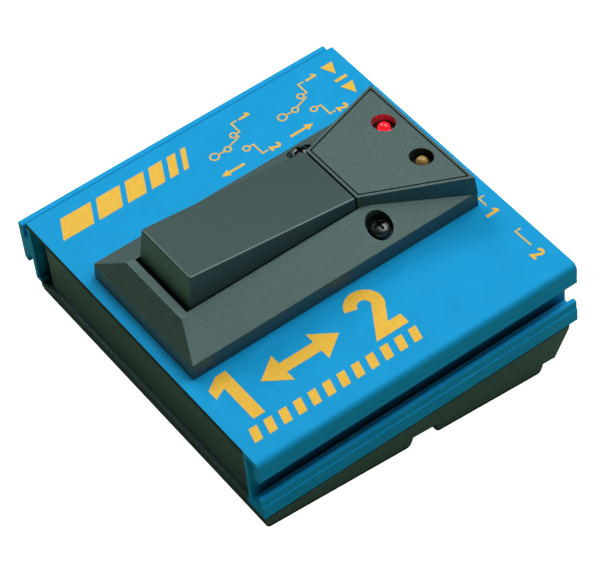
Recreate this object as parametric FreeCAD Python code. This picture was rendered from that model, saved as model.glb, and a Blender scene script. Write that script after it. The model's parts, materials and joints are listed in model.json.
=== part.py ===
import FreeCAD, Part
import math
import os

# Two-way selector foot pedal.
# A blue extruded deck slides over a black wedge-shaped base. A black bezel on the deck
# carries the treadle and the indicator block. Three jacks leave the back wall.
#
# Everything is drawn in the deck's own frame, in millimetres: X to the right, Y to the
# back, W square to the deck, with the origin at the middle of the deck's top surface.
# The deck leans forward on its base, so each finished piece is turned by the lean and
# lifted until the soles stand on Z = 0.

V = FreeCAD.Vector

# How far cutters run past the faces that they open
PAST = 1.0

# Stance
LEAN = 5.25
DECK_HEIGHT = 28.2

# Deck extrusion, seen from its front end
DECK_LENGTH = 94.0
HALF_WIDTH = 51.0
SIDE_DEPTH = 20.4
PLATE = 1.6
LEFT_WALL = 1.5
RIGHT_WALL = 1.25
TOE_REACH = 0.9
TOE_THICKNESS = 1.4
DECK_LEFT_ROUND = 0.8
DECK_RIGHT_ROUND = 1.6
MOUTH_ROUND = 0.85
SLOT_ROUND = 0.5
INNER_ROUND = 0.4

# Joining rail on the left and the slot that takes a neighbour's rail on the right
RAIL_REACH = 4.1
SLOT_REACH = 4.7
RAIL_HEAD = 2.0
RAIL_HEAD_TOP = 2.8
RAIL_HEAD_BOTTOM = 16.4
RAIL_FACE_ROUND = 0.9
RAIL_ROUND = 0.6
WEB_ROUND = 0.3
LIP = 1.8
MOUTH_TOP = 7.0
MOUTH_BOTTOM = 13.5
SLOT_FLOOR = 17.0
RAIL_PLAY = 0.2
LIP_LEDGE_DROP = 2.4
LIP_LEDGE = 0.3
LIP_GROOVE_RISE = 2.2
LIP_GROOVE = 0.25

# Base moulding
BASE_FRONT = -46.6
BASE_BACK = 44.9
BASE_TAIL = 39.75
SOLE = 1.0
SOLE_INSET = 0.2
PLINTH = 2.0
FLOOR = 2.2
BASE_WALL = 2.2
BASE_GAP = 0.1
LEG_PLAY = 0.3
FRONT_WALL_FACE = -45.6
FRONT_WALL = 2.9
FRONT_WALL_ROUND = 5.0
BASE_CORNER = 0.9
EDGE = 0.8
LOW_WALL_TOP = 13.0
PLINTH_ROUND = 3.6
PLINTH_CORNER = 1.5
FRONT_PLINTH_END = -2.2
REAR_PLINTH = (3.2, 37.8)

# Bezel on the deck
BEZEL_FOOT = 20.9
BEZEL_RIM = 20.85
BEZEL_RIM_HEIGHT = 4.6
BEZEL_RIDGE = 11.6
BEZEL_RIDGE_HEIGHT = 10.14
OPENING_SIDE = 10.75
OPENING_EDGE_HEIGHT = 10.4
BEZEL_FRONT_FOOT = -43.7
BEZEL_FRONT_RIM = -43.3
BEZEL_FRONT_RIDGE = -39.3
OPENING_FRONT = -37.2
BEZEL_BACK_FOOT = 41.2
BEZEL_BACK_RIM = 41.0
BEZEL_BACK_TOP = 40.6
BEZEL_WALL = 1.8
BEZEL_EDGE = 0.35

# Indicator block, whose top runs on from the treadle's top
BLOCK_FRONT = 13.0
BLOCK_FRONT_SIDE = 10.4
BLOCK_BACK_SIDE = 20.7
BLOCK_DRAFT = 0.065
BLOCK_EDGE = 0.3
TOP_BACK_HEIGHT = 10.2
TOP_SLOPE = 0.1285
PANEL = 1.2
PANEL_BORDER = 0.75
PANEL_GROOVE = 0.4
LAMP_X = 7.54
LAMP_Y = 34.7
LAMP_HOLE = 3.1

# Treadle
TREADLE_FRONT = -36.2
TREADLE_FRONT_TOP = -34.64
TREADLE_GAP = 0.3
TREADLE_BACK_GAP = 0.4
TREADLE_TOP_SIDE = 10.05
TREADLE_SKIRT = 6.5
TREADLE_WALL = 2.0
TREADLE_CORNER = 0.5
TREADLE_EDGE = 0.5
PIVOT_Y = 10.0
PIVOT_W = 7.0
PIN_RADIUS = 1.25
PIN_PLAY = 0.05
EAR_RADIUS = 2.6
CHEEK = 2.4
CHEEK_HALF = 3.4
CHEEK_ROUND = 2.0
COLLAR_WALL = 1.2
COLLAR_FOOT = 4.0

# Bezel screws
SCREW_X = 16.0
SCREW_Y = 15.1
SCREW_HEAD = 2.75
SCREW_HEAD_HEIGHT = 2.1
SCREW_TIP_ROOM = 1.0
PAN_EDGE = 0.4
RECESS_REACH = 0.55
SCREW_SHANK = 1.5
SCREW_POCKET = 3.4
SCREW_BOSS_WALL = 1.2
SCREW_SEAT = 5.0
SCREW_DEPTH = 14.0
CLEARANCE = 0.2

# Foot switch under the treadle
SWITCH_Y = -24.0
SWITCH_HALF = 6.0
SWITCH_TOP = -3.5
COLLAR_RADIUS = 3.6
COLLAR_HEIGHT = 2.0
PLUNGER_RADIUS = 2.0
PLUNGER_PLAY = 0.05
PLUNGER_FOOT = -6.5
PLUNGER_TOP = 4.0
PLUNGER_CAP = 3.0
PLUNGER_CAP_HEIGHT = 1.0
PUSHER_RADIUS = 3.0
PUSHER_GAP = 0.1
RIB = 1.2
RIB_FROM_SWITCH = 10.0
RIB_FROM_PIVOT = 6.0
SPIGOT = 2.0
SWITCH_DEPTH_FREE = 10.5
SWITCH_ROUND = 0.8
WINDOW_ROOM = 2.0

# Treadle return spring
SPRING_Y = -6.0
SPRING_RADIUS = 3.6
SPRING_WIRE = 0.4
SPRING_TURNS = 5

# Main circuit board
BOARD = 1.6
BOARD_TOP = -17.0
BOARD_GAP = 0.9
BOARD_FRONT_GAP = 6.2
BOARD_WING_GAP = 3.0
BOARD_SCREW_INSET = 4.0
BOARD_SCREW_FROM_JACK = 4.5
BOARD_SCREW = 1.1
BOARD_SCREW_HEAD = 2.2
BOARD_SCREW_HEAD_HEIGHT = 1.4
BOARD_SCREW_LENGTH = 6.6
BOARD_ROUND = 1.5
BOARD_POST = 2.8

# Lamps and their small board
LAMP_RADIUS = 1.6
LAMP_CENTRE_DEPTH = 2.0
LAMP_FLANGE = 1.9
LAMP_FLANGE_HEIGHT = 1.0
LAMP_LEG = 0.25
LAMP_LEG_SPACING = 1.27
LAMP_LEG_OUT = 1.0
SLEEVE_TOP_DEPTH = 3.0
SLEEVE_PLAY = 0.1
LAMP_BOARD = 1.2
LAMP_BOARD_TOP = 5.0
LAMP_BOARD_SIDE = 12.0
LAMP_BOARD_ROUND = 1.0
LAMP_BOARD_Y = (28.2, 38.6)
LAMP_BOARD_SCREW_PLACES = ((0.0, 30.6), (0.0, 36.4))
LAMP_BOARD_POST = 2.3
LAMP_BOARD_SCREW_LENGTH = 4.0
LAMP_BOARD_SCREW_ROOM = 0.5
RIBBON = 0.8
RIBBON_HALF_WIDTH = 3.0
RIBBON_Y = 24.0
RIBBON_BEND = 1.9
RIBBON_ROOM = 1.5
HEADER_HALF = 2.0
HEADER_END = 1.0
HEADER_HEIGHT = 3.0
HEADER_FLOOR = 1.0

# Jacks in the back wall
INPUT_FROM_LEFT = 11.4
OUTPUT_FROM_RIBBON = 1.5
OUTPUT_FROM_RIGHT = 12.05
JACK_AXIS = -10.2
JACK_HALF = 7.5
JACK_BODY = 13.4
JACK_LENGTH = 22.0
JACK_END = 1.2
JACK_FOOT_ROUND = 0.8
JACK_ROUND = 2.0
JACK_BORE = 4.0
PLUG_BORE = 3.25
SLEEVE_RADIUS = 4.5
SLEEVE_SEAT = 2.0
SLEEVE_REACH = 4.3
WASHER_RADIUS = 7.0
WASHER = 0.6
NUT_FLATS = 12.7
NUT = 2.2

# Battery bay, level with the ground
CELL_RADIUS = 7.1
CELL_LENGTH = 49.2
CELL_NUB_RADIUS = 2.7
CELL_NUB = 1.1
CELL_GAP = 0.9
BAY_SIDE_ROOM = 0.2
BAY_FRONT_ROOM = 3.1
BAY_PLAY = 0.3
BAY_WALL = 1.2
CELL_EDGE = 0.6
CELL_SPRING_LENGTH = 1.8
CELL_SPRING_RADIUS = 3.6
CELL_SPRING_WIRE = 0.8
CONTACT = 0.4
CONTACT_HALF = 4.5

# Battery door, level with the ground
DOOR = 1.5
DOOR_OVERLAP = 1.0
DOOR_PLAY = 0.3
DOOR_TRAVEL = 8.0
DOOR_TAB_LENGTH = 6.0
DOOR_TABS = 3
DOOR_TAB_INSET = 7.0
DOOR_LIP = 0.35
DOOR_GRIPS = 5
DOOR_GRIP_PITCH = 1.8
DOOR_GRIP_HEIGHT = 0.35
DOOR_GRIP_INSET = 4.0


def block(x, y, w):
    """Rectangular block between a pair of limits on each axis."""
    return Part.makeBox(x[1] - x[0], y[1] - y[0], w[1] - w[0], V(x[0], y[0], w[0]))


def rod(radius, start, end):
    """Round bar from one point to another."""
    way = V(*end) - V(*start)
    return Part.makeCylinder(radius, way.Length, V(*start), way)


def upright(radius, x, y, w):
    """Round bar square to the deck, between a pair of heights."""
    return rod(radius, (x, y, w[0]), (x, y, w[1]))


def outline(points):
    """Closed edges through the points; a third number rounds that corner with an arc."""
    corners = [V(p[0], p[1], 0) for p in points]
    starts = []
    ends = []
    arcs = []
    for i, point in enumerate(points):
        here = corners[i]
        radius = point[2] if len(point) > 2 else 0
        if not radius:
            starts.append(here)
            ends.append(here)
            arcs.append(None)
            continue
        back = (corners[i - 1] - here).normalize()
        ahead = (corners[(i + 1) % len(points)] - here).normalize()
        half = back.getAngle(ahead) / 2
        start = here + back * (radius / math.tan(half))
        end = here + ahead * (radius / math.tan(half))
        middle = here + (back + ahead).normalize() * (radius / math.sin(half) - radius)
        starts.append(start)
        ends.append(end)
        arcs.append(Part.Arc(start, middle, end).toShape())
    edges = []
    for i in range(len(points)):
        if arcs[i]:
            edges.append(arcs[i])
        leave = ends[i]
        arrive = starts[(i + 1) % len(points)]
        if leave.distanceToPoint(arrive) > 1e-6:
            edges.append(Part.makeLine(leave, arrive))
    return Part.Wire(edges)


def drawn_w(points, w):
    """Solid with a plan outline of (x, y) points, between a pair of heights."""
    face = Part.Face(outline(points))
    face.translate(V(0, 0, w[0]))
    return face.extrude(V(0, 0, w[1] - w[0]))


def drawn_y(points, y):
    """Solid with an end outline of (x, w) points, between a pair of places along Y."""
    solid = Part.Face(outline(points)).extrude(V(0, 0, y[0] - y[1]))
    solid.rotate(V(0, 0, 0), V(1, 0, 0), 90)
    solid.translate(V(0, y[0], 0))
    return solid


def drawn_x(points, x):
    """Solid with a side outline of (y, w) points, between a pair of places along X."""
    solid = Part.Face(outline(points)).extrude(V(0, 0, x[1] - x[0]))
    solid.rotate(V(0, 0, 0), V(1, 1, 1), 120)
    solid.translate(V(x[0], 0, 0))
    return solid


def joined(first, *others):
    """One solid from pieces that touch or overlap."""
    return first.multiFuse(list(others)).removeSplitter()


def less(solid, *tools):
    """The solid with the tools cut away."""
    return solid.cut(list(tools)).removeSplitter()


def softened(solid, radius, wanted):
    """The solid with the edges that the test picks out rounded."""
    return solid.makeFillet(radius, [edge for edge in solid.Edges if wanted(edge)])


def leaned(shape):
    """The shape moved from the deck's frame to its stance over the ground."""
    shape = shape.copy()
    shape.rotate(V(0, 0, 0), V(1, 0, 0), LEAN)
    shape.translate(V(0, 0, DECK_HEIGHT))
    return shape


def levelled(shape):
    """A shape drawn over the ground, brought into the deck's frame."""
    shape = shape.copy()
    shape.translate(V(0, 0, -DECK_HEIGHT))
    shape.rotate(V(0, 0, 0), V(1, 0, 0), -LEAN)
    return shape


def over_ground(y, height):
    """W of the place at y on the deck's frame that is this high over the ground."""
    lean = math.radians(LEAN)
    return (height - DECK_HEIGHT - y * math.sin(lean)) / math.cos(lean)


def top_plane(y):
    """W of the common top surface of the treadle and the indicator block."""
    return TOP_BACK_HEIGHT + TOP_SLOPE * (BEZEL_BACK_TOP - y)


HALF_LENGTH = DECK_LENGTH / 2
LEFT_SIDE = RAIL_REACH - HALF_WIDTH
RIGHT_SIDE = HALF_WIDTH - SLOT_REACH
LEFT_INNER = LEFT_SIDE + LEFT_WALL
RIGHT_INNER = RIGHT_SIDE - RIGHT_WALL
BASE_LEFT = LEFT_SIDE
ROOM_LEFT = LEFT_INNER + LEG_PLAY + BASE_WALL
ROOM_RIGHT = RIGHT_INNER - LEG_PLAY - BASE_WALL
ROOM_FRONT = FRONT_WALL_FACE + FRONT_WALL
ROOM_BACK = BASE_BACK - BASE_WALL
LIP_INNER = HALF_WIDTH - LIP
BOARD_UNDER = BOARD_TOP - BOARD
UNDER_PLATE = -PLATE - BASE_GAP
UNDER_RAIL = -SIDE_DEPTH - BASE_GAP
FLOOR_UNDER = SOLE + PLINTH
FLOOR_TOP = FLOOR_UNDER + FLOOR
BAY_RIGHT = ROOM_RIGHT - BAY_SIDE_ROOM
BAY_LEFT = BAY_RIGHT - 4 * CELL_RADIUS - CELL_GAP - 2 * BAY_PLAY
BAY_LENGTH = CELL_LENGTH + CELL_NUB + CELL_SPRING_LENGTH + 2 * CONTACT
BAY_FRONT = ROOM_FRONT + BAY_FRONT_ROOM
BAY_BACK = BAY_FRONT + BAY_LENGTH
BAY_TOP = FLOOR_UNDER + 2 * CELL_RADIUS + 2 * BAY_PLAY
CELL_HEIGHT = FLOOR_UNDER + BAY_PLAY + CELL_RADIUS
CELL_X = (BAY_LEFT + BAY_PLAY + CELL_RADIUS, BAY_RIGHT - BAY_PLAY - CELL_RADIUS)
DOOR_X = (BAY_LEFT - DOOR_OVERLAP, BAY_RIGHT + DOOR_OVERLAP)
DOOR_Y = (BAY_FRONT - DOOR_OVERLAP, BAY_BACK + DOOR_OVERLAP)
INPUT_X = LEFT_INNER + INPUT_FROM_LEFT
OUTPUT_2_X = RIGHT_INNER - OUTPUT_FROM_RIGHT
OUTPUT_1_X = RIBBON_HALF_WIDTH + OUTPUT_FROM_RIBBON + JACK_HALF
JACK_PLACES = (("input", INPUT_X), ("output_1", OUTPUT_1_X), ("output_2", OUTPUT_2_X))
BOARD_LEFT = ROOM_LEFT + BOARD_GAP
BOARD_RIGHT = BAY_LEFT - BAY_WALL - BOARD_GAP
BOARD_FRONT = ROOM_FRONT + BOARD_FRONT_GAP
BOARD_BACK = ROOM_BACK - BOARD_GAP
BOARD_WING_RIGHT = ROOM_RIGHT - BOARD_GAP
BOARD_WING_FRONT = BAY_BACK + BAY_WALL + BOARD_WING_GAP
BOARD_SCREW_PLACES = (
    (BOARD_LEFT + BOARD_SCREW_INSET, BOARD_FRONT + BOARD_SCREW_INSET),
    (BOARD_RIGHT - BOARD_SCREW_INSET, BOARD_FRONT + BOARD_SCREW_INSET),
    (INPUT_X + JACK_HALF + BOARD_SCREW_FROM_JACK, BOARD_BACK - JACK_LENGTH + BOARD_SCREW_INSET),
    ((OUTPUT_1_X + OUTPUT_2_X) / 2, BOARD_BACK - JACK_LENGTH + BOARD_SCREW_INSET),
)


def deck_profile():
    """End outline of the extrusion, clockwise from the deck's left edge."""
    toe_top = TOE_THICKNESS - SIDE_DEPTH
    ledge_w = -MOUTH_BOTTOM - LIP_LEDGE_DROP
    web_top = -MOUTH_TOP - RAIL_PLAY
    web_bottom = -MOUTH_BOTTOM + RAIL_PLAY
    head_inner = RAIL_HEAD - HALF_WIDTH
    return [
        (LEFT_SIDE, 0, DECK_LEFT_ROUND),
        (HALF_WIDTH, 0, DECK_RIGHT_ROUND),
        (HALF_WIDTH, -MOUTH_TOP, MOUTH_ROUND),
        (LIP_INNER, -MOUTH_TOP, MOUTH_ROUND),
        (LIP_INNER, -PLATE, INNER_ROUND),
        (RIGHT_SIDE, -PLATE, INNER_ROUND),
        (RIGHT_SIDE, -SLOT_FLOOR, SLOT_ROUND),
        (LIP_INNER, -SLOT_FLOOR, SLOT_ROUND),
        (LIP_INNER, -MOUTH_BOTTOM, SLOT_ROUND),
        (HALF_WIDTH - LIP_LEDGE, -MOUTH_BOTTOM, SLOT_ROUND),
        (HALF_WIDTH - LIP_LEDGE, ledge_w),
        (HALF_WIDTH, ledge_w - LIP_LEDGE),
        (HALF_WIDTH, -SIDE_DEPTH, INNER_ROUND),
        (RIGHT_INNER - TOE_REACH, -SIDE_DEPTH),
        (RIGHT_INNER - TOE_REACH, toe_top),
        (RIGHT_INNER, toe_top),
        (RIGHT_INNER, -PLATE, INNER_ROUND),
        (LEFT_INNER, -PLATE, INNER_ROUND),
        (LEFT_INNER, toe_top),
        (LEFT_INNER + TOE_REACH, toe_top),
        (LEFT_INNER + TOE_REACH, -SIDE_DEPTH),
        (LEFT_SIDE, -SIDE_DEPTH, INNER_ROUND),
        (LEFT_SIDE, web_bottom, WEB_ROUND),
        (head_inner, web_bottom, WEB_ROUND),
        (head_inner, -RAIL_HEAD_BOTTOM, RAIL_ROUND),
        (-HALF_WIDTH, -RAIL_HEAD_BOTTOM, RAIL_FACE_ROUND),
        (-HALF_WIDTH, -RAIL_HEAD_TOP, RAIL_ROUND),
        (head_inner, -RAIL_HEAD_TOP, RAIL_ROUND),
        (head_inner, web_top, WEB_ROUND),
        (LEFT_SIDE, web_top, WEB_ROUND),
    ]


def switch_window():
    """Opening in the plate over the foot switch."""
    side = SWITCH_HALF + WINDOW_ROOM
    return block((-side, side), (SWITCH_Y - side, SWITCH_Y + side), (-2 * PLATE, PLATE))


def ribbon_window():
    """Slot in the plate that the lamp ribbon passes through."""
    side = RIBBON_HALF_WIDTH + RIBBON_ROOM
    half = RIBBON / 2 + RIBBON_ROOM
    return block((-side, side), (RIBBON_Y - half, RIBBON_Y + half), (-2 * PLATE, PLATE))


def deck_extrusion():
    """Top plate, both sides, joining rail and joining slot in one extruded length."""
    body = drawn_y(deck_profile(), (-HALF_LENGTH, HALF_LENGTH))
    groove_w = LIP_GROOVE_RISE - MOUTH_TOP
    groove = drawn_y(
        [
            (HALF_WIDTH + LIP_GROOVE, groove_w + 2 * LIP_GROOVE),
            (HALF_WIDTH - LIP_GROOVE, groove_w),
            (HALF_WIDTH + LIP_GROOVE, groove_w - 2 * LIP_GROOVE),
        ],
        (-HALF_LENGTH, HALF_LENGTH),
    )
    tools = [groove, switch_window(), ribbon_window()]
    for x in (-SCREW_X, SCREW_X):
        tools.append(upright(SCREW_SHANK + CLEARANCE, x, SCREW_Y, (-2 * PLATE, PLATE)))
    return less(body, *tools)


def skirt():
    """The wedge that shows under the extrusion, still solid."""
    plan = drawn_w(
        [
            (BASE_LEFT, BASE_FRONT, BASE_CORNER),
            (HALF_WIDTH, BASE_FRONT, EDGE),
            (HALF_WIDTH, BASE_BACK, EDGE),
            (BASE_LEFT, BASE_BACK, EDGE),
        ],
        (-2 * DECK_HEIGHT, UNDER_RAIL),
    )
    wedge = drawn_x(
        [
            (BASE_FRONT, over_ground(BASE_FRONT, FLOOR_UNDER)),
            (BASE_TAIL, over_ground(BASE_TAIL, FLOOR_UNDER)),
            (BASE_BACK, UNDER_RAIL),
            (BASE_BACK, 0),
            (BASE_FRONT, 0),
        ],
        (BASE_LEFT, HALF_WIDTH),
    )
    return plan.common(wedge)


def tub():
    """The solid block of the base that stands between the extrusion's sides."""
    left = LEFT_INNER + LEG_PLAY
    right = RIGHT_INNER - LEG_PLAY
    plan = drawn_w(
        [
            (left, FRONT_WALL_FACE, FRONT_WALL_ROUND),
            (right, FRONT_WALL_FACE, EDGE),
            (right, BASE_BACK, EDGE),
            (left, BASE_BACK, EDGE),
        ],
        (-2 * DECK_HEIGHT, UNDER_PLATE),
    )
    wedge = drawn_x(
        [
            (FRONT_WALL_FACE, over_ground(FRONT_WALL_FACE, FLOOR_UNDER)),
            (BASE_TAIL, over_ground(BASE_TAIL, FLOOR_UNDER)),
            (BASE_BACK, UNDER_RAIL),
            (BASE_BACK, UNDER_PLATE),
            (FRONT_WALL_FACE, UNDER_PLATE),
        ],
        (left, right),
    )
    return plan.common(wedge)


def toe_grooves():
    """Grooves in the tub's sides that the extrusion's toes slide along."""
    depth = TOE_REACH + LEG_PLAY
    top = TOE_THICKNESS - SIDE_DEPTH + BASE_GAP
    span = (-HALF_LENGTH, HALF_LENGTH)
    left = block((LEFT_SIDE, LEFT_INNER + depth), span, (UNDER_RAIL, top))
    right = block((RIGHT_INNER - depth, RIGHT_SIDE), span, (UNDER_RAIL, top))
    return [left, right]


def tub_hollow():
    """Room inside the base for the boards and jacks."""
    return drawn_x(
        [
            (ROOM_FRONT, over_ground(ROOM_FRONT, FLOOR_TOP)),
            (ROOM_BACK, over_ground(ROOM_BACK, FLOOR_TOP)),
            (ROOM_BACK, 0),
            (ROOM_FRONT, 0),
        ],
        (ROOM_LEFT, ROOM_RIGHT),
    )


def skirt_hollow():
    """Room inside the skirt, beside the tub, where the wedge is deep enough."""
    back = BASE_TAIL - BASE_WALL
    return drawn_x(
        [
            (ROOM_FRONT, over_ground(ROOM_FRONT, FLOOR_TOP)),
            (back, over_ground(back, FLOOR_TOP)),
            (back, 0),
            (ROOM_FRONT, 0),
        ],
        (BASE_LEFT + BASE_WALL, HALF_WIDTH - BASE_WALL),
    )


def low_sides():
    """What is taken off the tub's sides between its end walls."""
    return block((-HALF_WIDTH, HALF_WIDTH), (ROOM_FRONT, ROOM_BACK), (-LOW_WALL_TOP, 0))


def plinth_plan(y, inset, front_left):
    """Plan of one plinth, or of its sole when an inset is given."""
    left = BASE_LEFT + inset
    right = HALF_WIDTH - inset
    return [
        (left, y[0] + inset, front_left),
        (right, y[0] + inset, EDGE),
        (right, y[1] - inset, PLINTH_ROUND),
        (left, y[1] - inset, PLINTH_ROUND),
    ]


def door_pocket():
    """Space that the battery door lies and slides in."""
    return levelled(
        block(
            (DOOR_X[0] - DOOR_PLAY, DOOR_X[1] + DOOR_PLAY),
            (DOOR_Y[0] - DOOR_PLAY, DOOR_Y[1] + DOOR_PLAY + DOOR_TRAVEL),
            (-SOLE, FLOOR_UNDER),
        )
    )


def plinth_layer(plan, low, high):
    """A plinth's plan between two heights over the ground, less the door's pocket."""
    front = min(point[1] for point in plan)
    back = max(point[1] for point in plan)
    layer = drawn_x(
        [
            (front, over_ground(front, low)),
            (back, over_ground(back, low)),
            (back, over_ground(back, high)),
            (front, over_ground(front, high)),
        ],
        (BASE_LEFT, HALF_WIDTH),
    )
    return layer.common(drawn_w(plan, (-2 * DECK_HEIGHT, 0))).cut(door_pocket())


def front_plinth_plan(inset):
    """Plan of the front plinth, whose front left corner is rounder than the others."""
    return plinth_plan((BASE_FRONT, FRONT_PLINTH_END), inset, PLINTH_CORNER)


def rear_plinth_plan(inset):
    """Plan of the rear plinth."""
    return plinth_plan(REAR_PLINTH, inset, EDGE)


def door_tab_places():
    """Middles of the door's tabs, evenly spaced along it."""
    first = DOOR_Y[0] + DOOR_TAB_INSET
    step = (DOOR_Y[1] - DOOR_TAB_INSET - first) / (DOOR_TABS - 1)
    return [first + i * step for i in range(DOOR_TABS)]


def door_lips():
    """Short ledges that hold the battery door's tabs."""
    lips = []
    length = DOOR_TAB_LENGTH + DOOR_OVERLAP
    inward = DOOR_OVERLAP + DOOR_PLAY
    for y in door_tab_places():
        span = (y - length / 2, y + length / 2)
        left = DOOR_X[0] - DOOR_PLAY
        right = DOOR_X[1] + DOOR_PLAY
        lips.append(levelled(block((left, left + inward), span, (SOLE, SOLE + DOOR_LIP))))
        lips.append(levelled(block((right - inward, right), span, (SOLE, SOLE + DOOR_LIP))))
    return lips


def battery_bay():
    """Walls and roof of the battery bay, open downwards, and the space in it."""
    high = BAY_TOP + BAY_WALL
    shell = block(
        (BAY_LEFT - BAY_WALL, BAY_RIGHT + BAY_WALL),
        (BAY_FRONT - BAY_WALL, BAY_BACK + BAY_WALL),
        (FLOOR_UNDER, high),
    )
    inside = block((BAY_LEFT, BAY_RIGHT), (BAY_FRONT, BAY_BACK), (-SOLE, BAY_TOP))
    return levelled(shell), levelled(inside)


def post(radius, x, y, top):
    """Round post from the base's floor to a height on the deck's frame."""
    foot = over_ground(y, FLOOR_UNDER + FLOOR / 2)
    return upright(radius, x, y, (foot, top))


def base_tray():
    """Wedge-shaped moulding with end walls, plinths, posts and battery bay."""
    bay, bay_room = battery_bay()
    body = joined(
        less(skirt(), skirt_hollow()),
        less(tub(), tub_hollow(), low_sides()),
    )
    additions = [bay]
    sunk = FLOOR_UNDER + FLOOR / 8
    additions.append(plinth_layer(front_plinth_plan(0), SOLE, sunk))
    additions.append(plinth_layer(rear_plinth_plan(0), SOLE, sunk))
    additions.extend(door_lips())
    bores = [bay_room]
    for x, y in BOARD_SCREW_PLACES:
        additions.append(post(BOARD_POST, x, y, BOARD_UNDER))
        bores.append(upright(BOARD_SCREW, x, y, (BOARD_TOP - BOARD_SCREW_LENGTH - SCREW_TIP_ROOM, 0)))
    for x in (-SCREW_X, SCREW_X):
        additions.append(post(SCREW_HEAD + CLEARANCE, x, SCREW_Y, UNDER_PLATE))
        bores.append(upright(SCREW_SHANK, x, SCREW_Y, (SCREW_SEAT - SCREW_DEPTH - SCREW_TIP_ROOM, 0)))
    for _, x in JACK_PLACES:
        bores.append(
            rod(
                SLEEVE_RADIUS + CLEARANCE / 2,
                (x, ROOM_BACK - BASE_WALL, JACK_AXIS),
                (x, BASE_BACK + BASE_WALL, JACK_AXIS),
            )
        )
    body = joined(body, *additions)
    return less(body, *bores, *toe_grooves())


def front_sole():
    """Rubber sheet under the front plinth."""
    return plinth_layer(front_plinth_plan(SOLE_INSET), 0, SOLE)


def rear_sole():
    """Rubber sheet under the rear plinth."""
    return plinth_layer(rear_plinth_plan(SOLE_INSET), 0, SOLE)


def battery_door():
    """Sliding door with six tabs and finger grips."""
    low = FLOOR_UNDER - DOOR
    high = FLOOR_UNDER - DOOR_PLAY / 2
    inner = DOOR_OVERLAP + DOOR_PLAY
    plate = block((DOOR_X[0] + inner, DOOR_X[1] - inner), DOOR_Y, (low, high))
    pieces = []
    for y in door_tab_places():
        span = (y - DOOR_TAB_LENGTH / 2, y + DOOR_TAB_LENGTH / 2)
        pieces.append(block(DOOR_X, span, (low, high)))
    for i in range(DOOR_GRIPS):
        y = DOOR_Y[0] + DOOR_GRIP_INSET + i * DOOR_GRIP_PITCH
        pieces.append(
            block(
                (CELL_X[0], CELL_X[1]),
                (y, y + DOOR_GRIP_PITCH / 2),
                (low - DOOR_GRIP_HEIGHT, low),
            )
        )
    return levelled(joined(plate, *pieces))


def rectangle_at(side, y, w):
    """Corners of a rectangle, even about X = 0, at one height."""
    return [V(-side, y[0], w), V(side, y[0], w), V(side, y[1], w), V(-side, y[1], w)]


def flat_face(corners):
    """Flat face between its corners."""
    return Part.Face(Part.makePolygon(corners + corners[:1]))


def stacked(rings):
    """Solid with flat faces through four-cornered outlines, from the lowest one up."""
    faces = [flat_face(rings[0][::-1]), flat_face(rings[-1])]
    for low, high in zip(rings, rings[1:]):
        for i in range(4):
            j = (i + 1) % 4
            faces.append(flat_face([low[i], low[j], high[j], high[i]]))
    return Part.makeSolid(Part.makeShell(faces))


def bezel_form():
    """Outer form of the bezel's rim and slopes, with its edges eased above the deck."""
    form = stacked(
        [
            rectangle_at(BEZEL_FOOT, (BEZEL_FRONT_FOOT, BEZEL_BACK_FOOT), 0),
            rectangle_at(BEZEL_RIM, (BEZEL_FRONT_RIM, BEZEL_BACK_RIM), BEZEL_RIM_HEIGHT),
            rectangle_at(
                BEZEL_RIDGE, (BEZEL_FRONT_RIDGE, BEZEL_BACK_TOP), BEZEL_RIDGE_HEIGHT
            ),
            rectangle_at(OPENING_SIDE, (OPENING_FRONT, BEZEL_BACK_TOP), OPENING_EDGE_HEIGHT),
        ]
    )

    def above_deck(edge):
        box = edge.BoundBox
        return box.ZMax > BEZEL_EDGE and box.ZMax < OPENING_EDGE_HEIGHT - 0.01 and box.YMin < 0

    return softened(form, BEZEL_EDGE, above_deck)


def bezel_room():
    """Hollow under the bezel's slopes, one wall thickness inside them."""
    wall = BEZEL_WALL
    back = BEZEL_BACK_TOP - wall
    return stacked(
        [
            rectangle_at(BEZEL_FOOT - wall, (BEZEL_FRONT_FOOT + wall, back), -wall),
            rectangle_at(
                BEZEL_RIM - wall, (BEZEL_FRONT_RIM + wall, back), BEZEL_RIM_HEIGHT - wall / 2
            ),
            rectangle_at(
                BEZEL_RIDGE - wall / 3,
                (BEZEL_FRONT_RIDGE + wall / 3, back),
                BEZEL_RIDGE_HEIGHT - wall,
            ),
        ]
    )


def block_ring(margin, w):
    """Corners of the indicator block at one height, drawn in by a margin.

    The block widens downwards by its draft, and its nominal plan is at the back top edge.
    """
    margin = margin - BLOCK_DRAFT * (TOP_BACK_HEIGHT - w)
    flare = (BLOCK_BACK_SIDE - BLOCK_FRONT_SIDE) / (BEZEL_BACK_TOP - BLOCK_FRONT)
    inset = margin * math.hypot(1, flare)
    front = BLOCK_FRONT_SIDE + flare * margin - inset
    back = BLOCK_BACK_SIDE - flare * margin - inset
    y = (BLOCK_FRONT + margin, BEZEL_BACK_TOP - margin)
    return [V(-front, y[0], w), V(front, y[0], w), V(back, y[1], w), V(-back, y[1], w)]


def under_top(depth, low):
    """Everything between a low level and the common top plane, less a depth."""
    front = BEZEL_FRONT_FOOT
    back = BEZEL_BACK_FOOT
    return drawn_x(
        [
            (front, low),
            (back, low),
            (back, top_plane(back) - depth),
            (front, top_plane(front) - depth),
        ],
        (-HALF_WIDTH, HALF_WIDTH),
    )


def indicator_block(margin, depth, low):
    """The raised block, or the room inside it, up to a depth under the top plane."""
    high = 2 * TOP_BACK_HEIGHT
    body = stacked([block_ring(margin, low), block_ring(margin, high)])
    return body.common(under_top(depth, low))


def on_top_plane(edge):
    """Whether an edge lies in the common top plane."""
    return all(abs(v.Z - top_plane(v.Y)) < 0.01 for v in edge.Vertexes)


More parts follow.
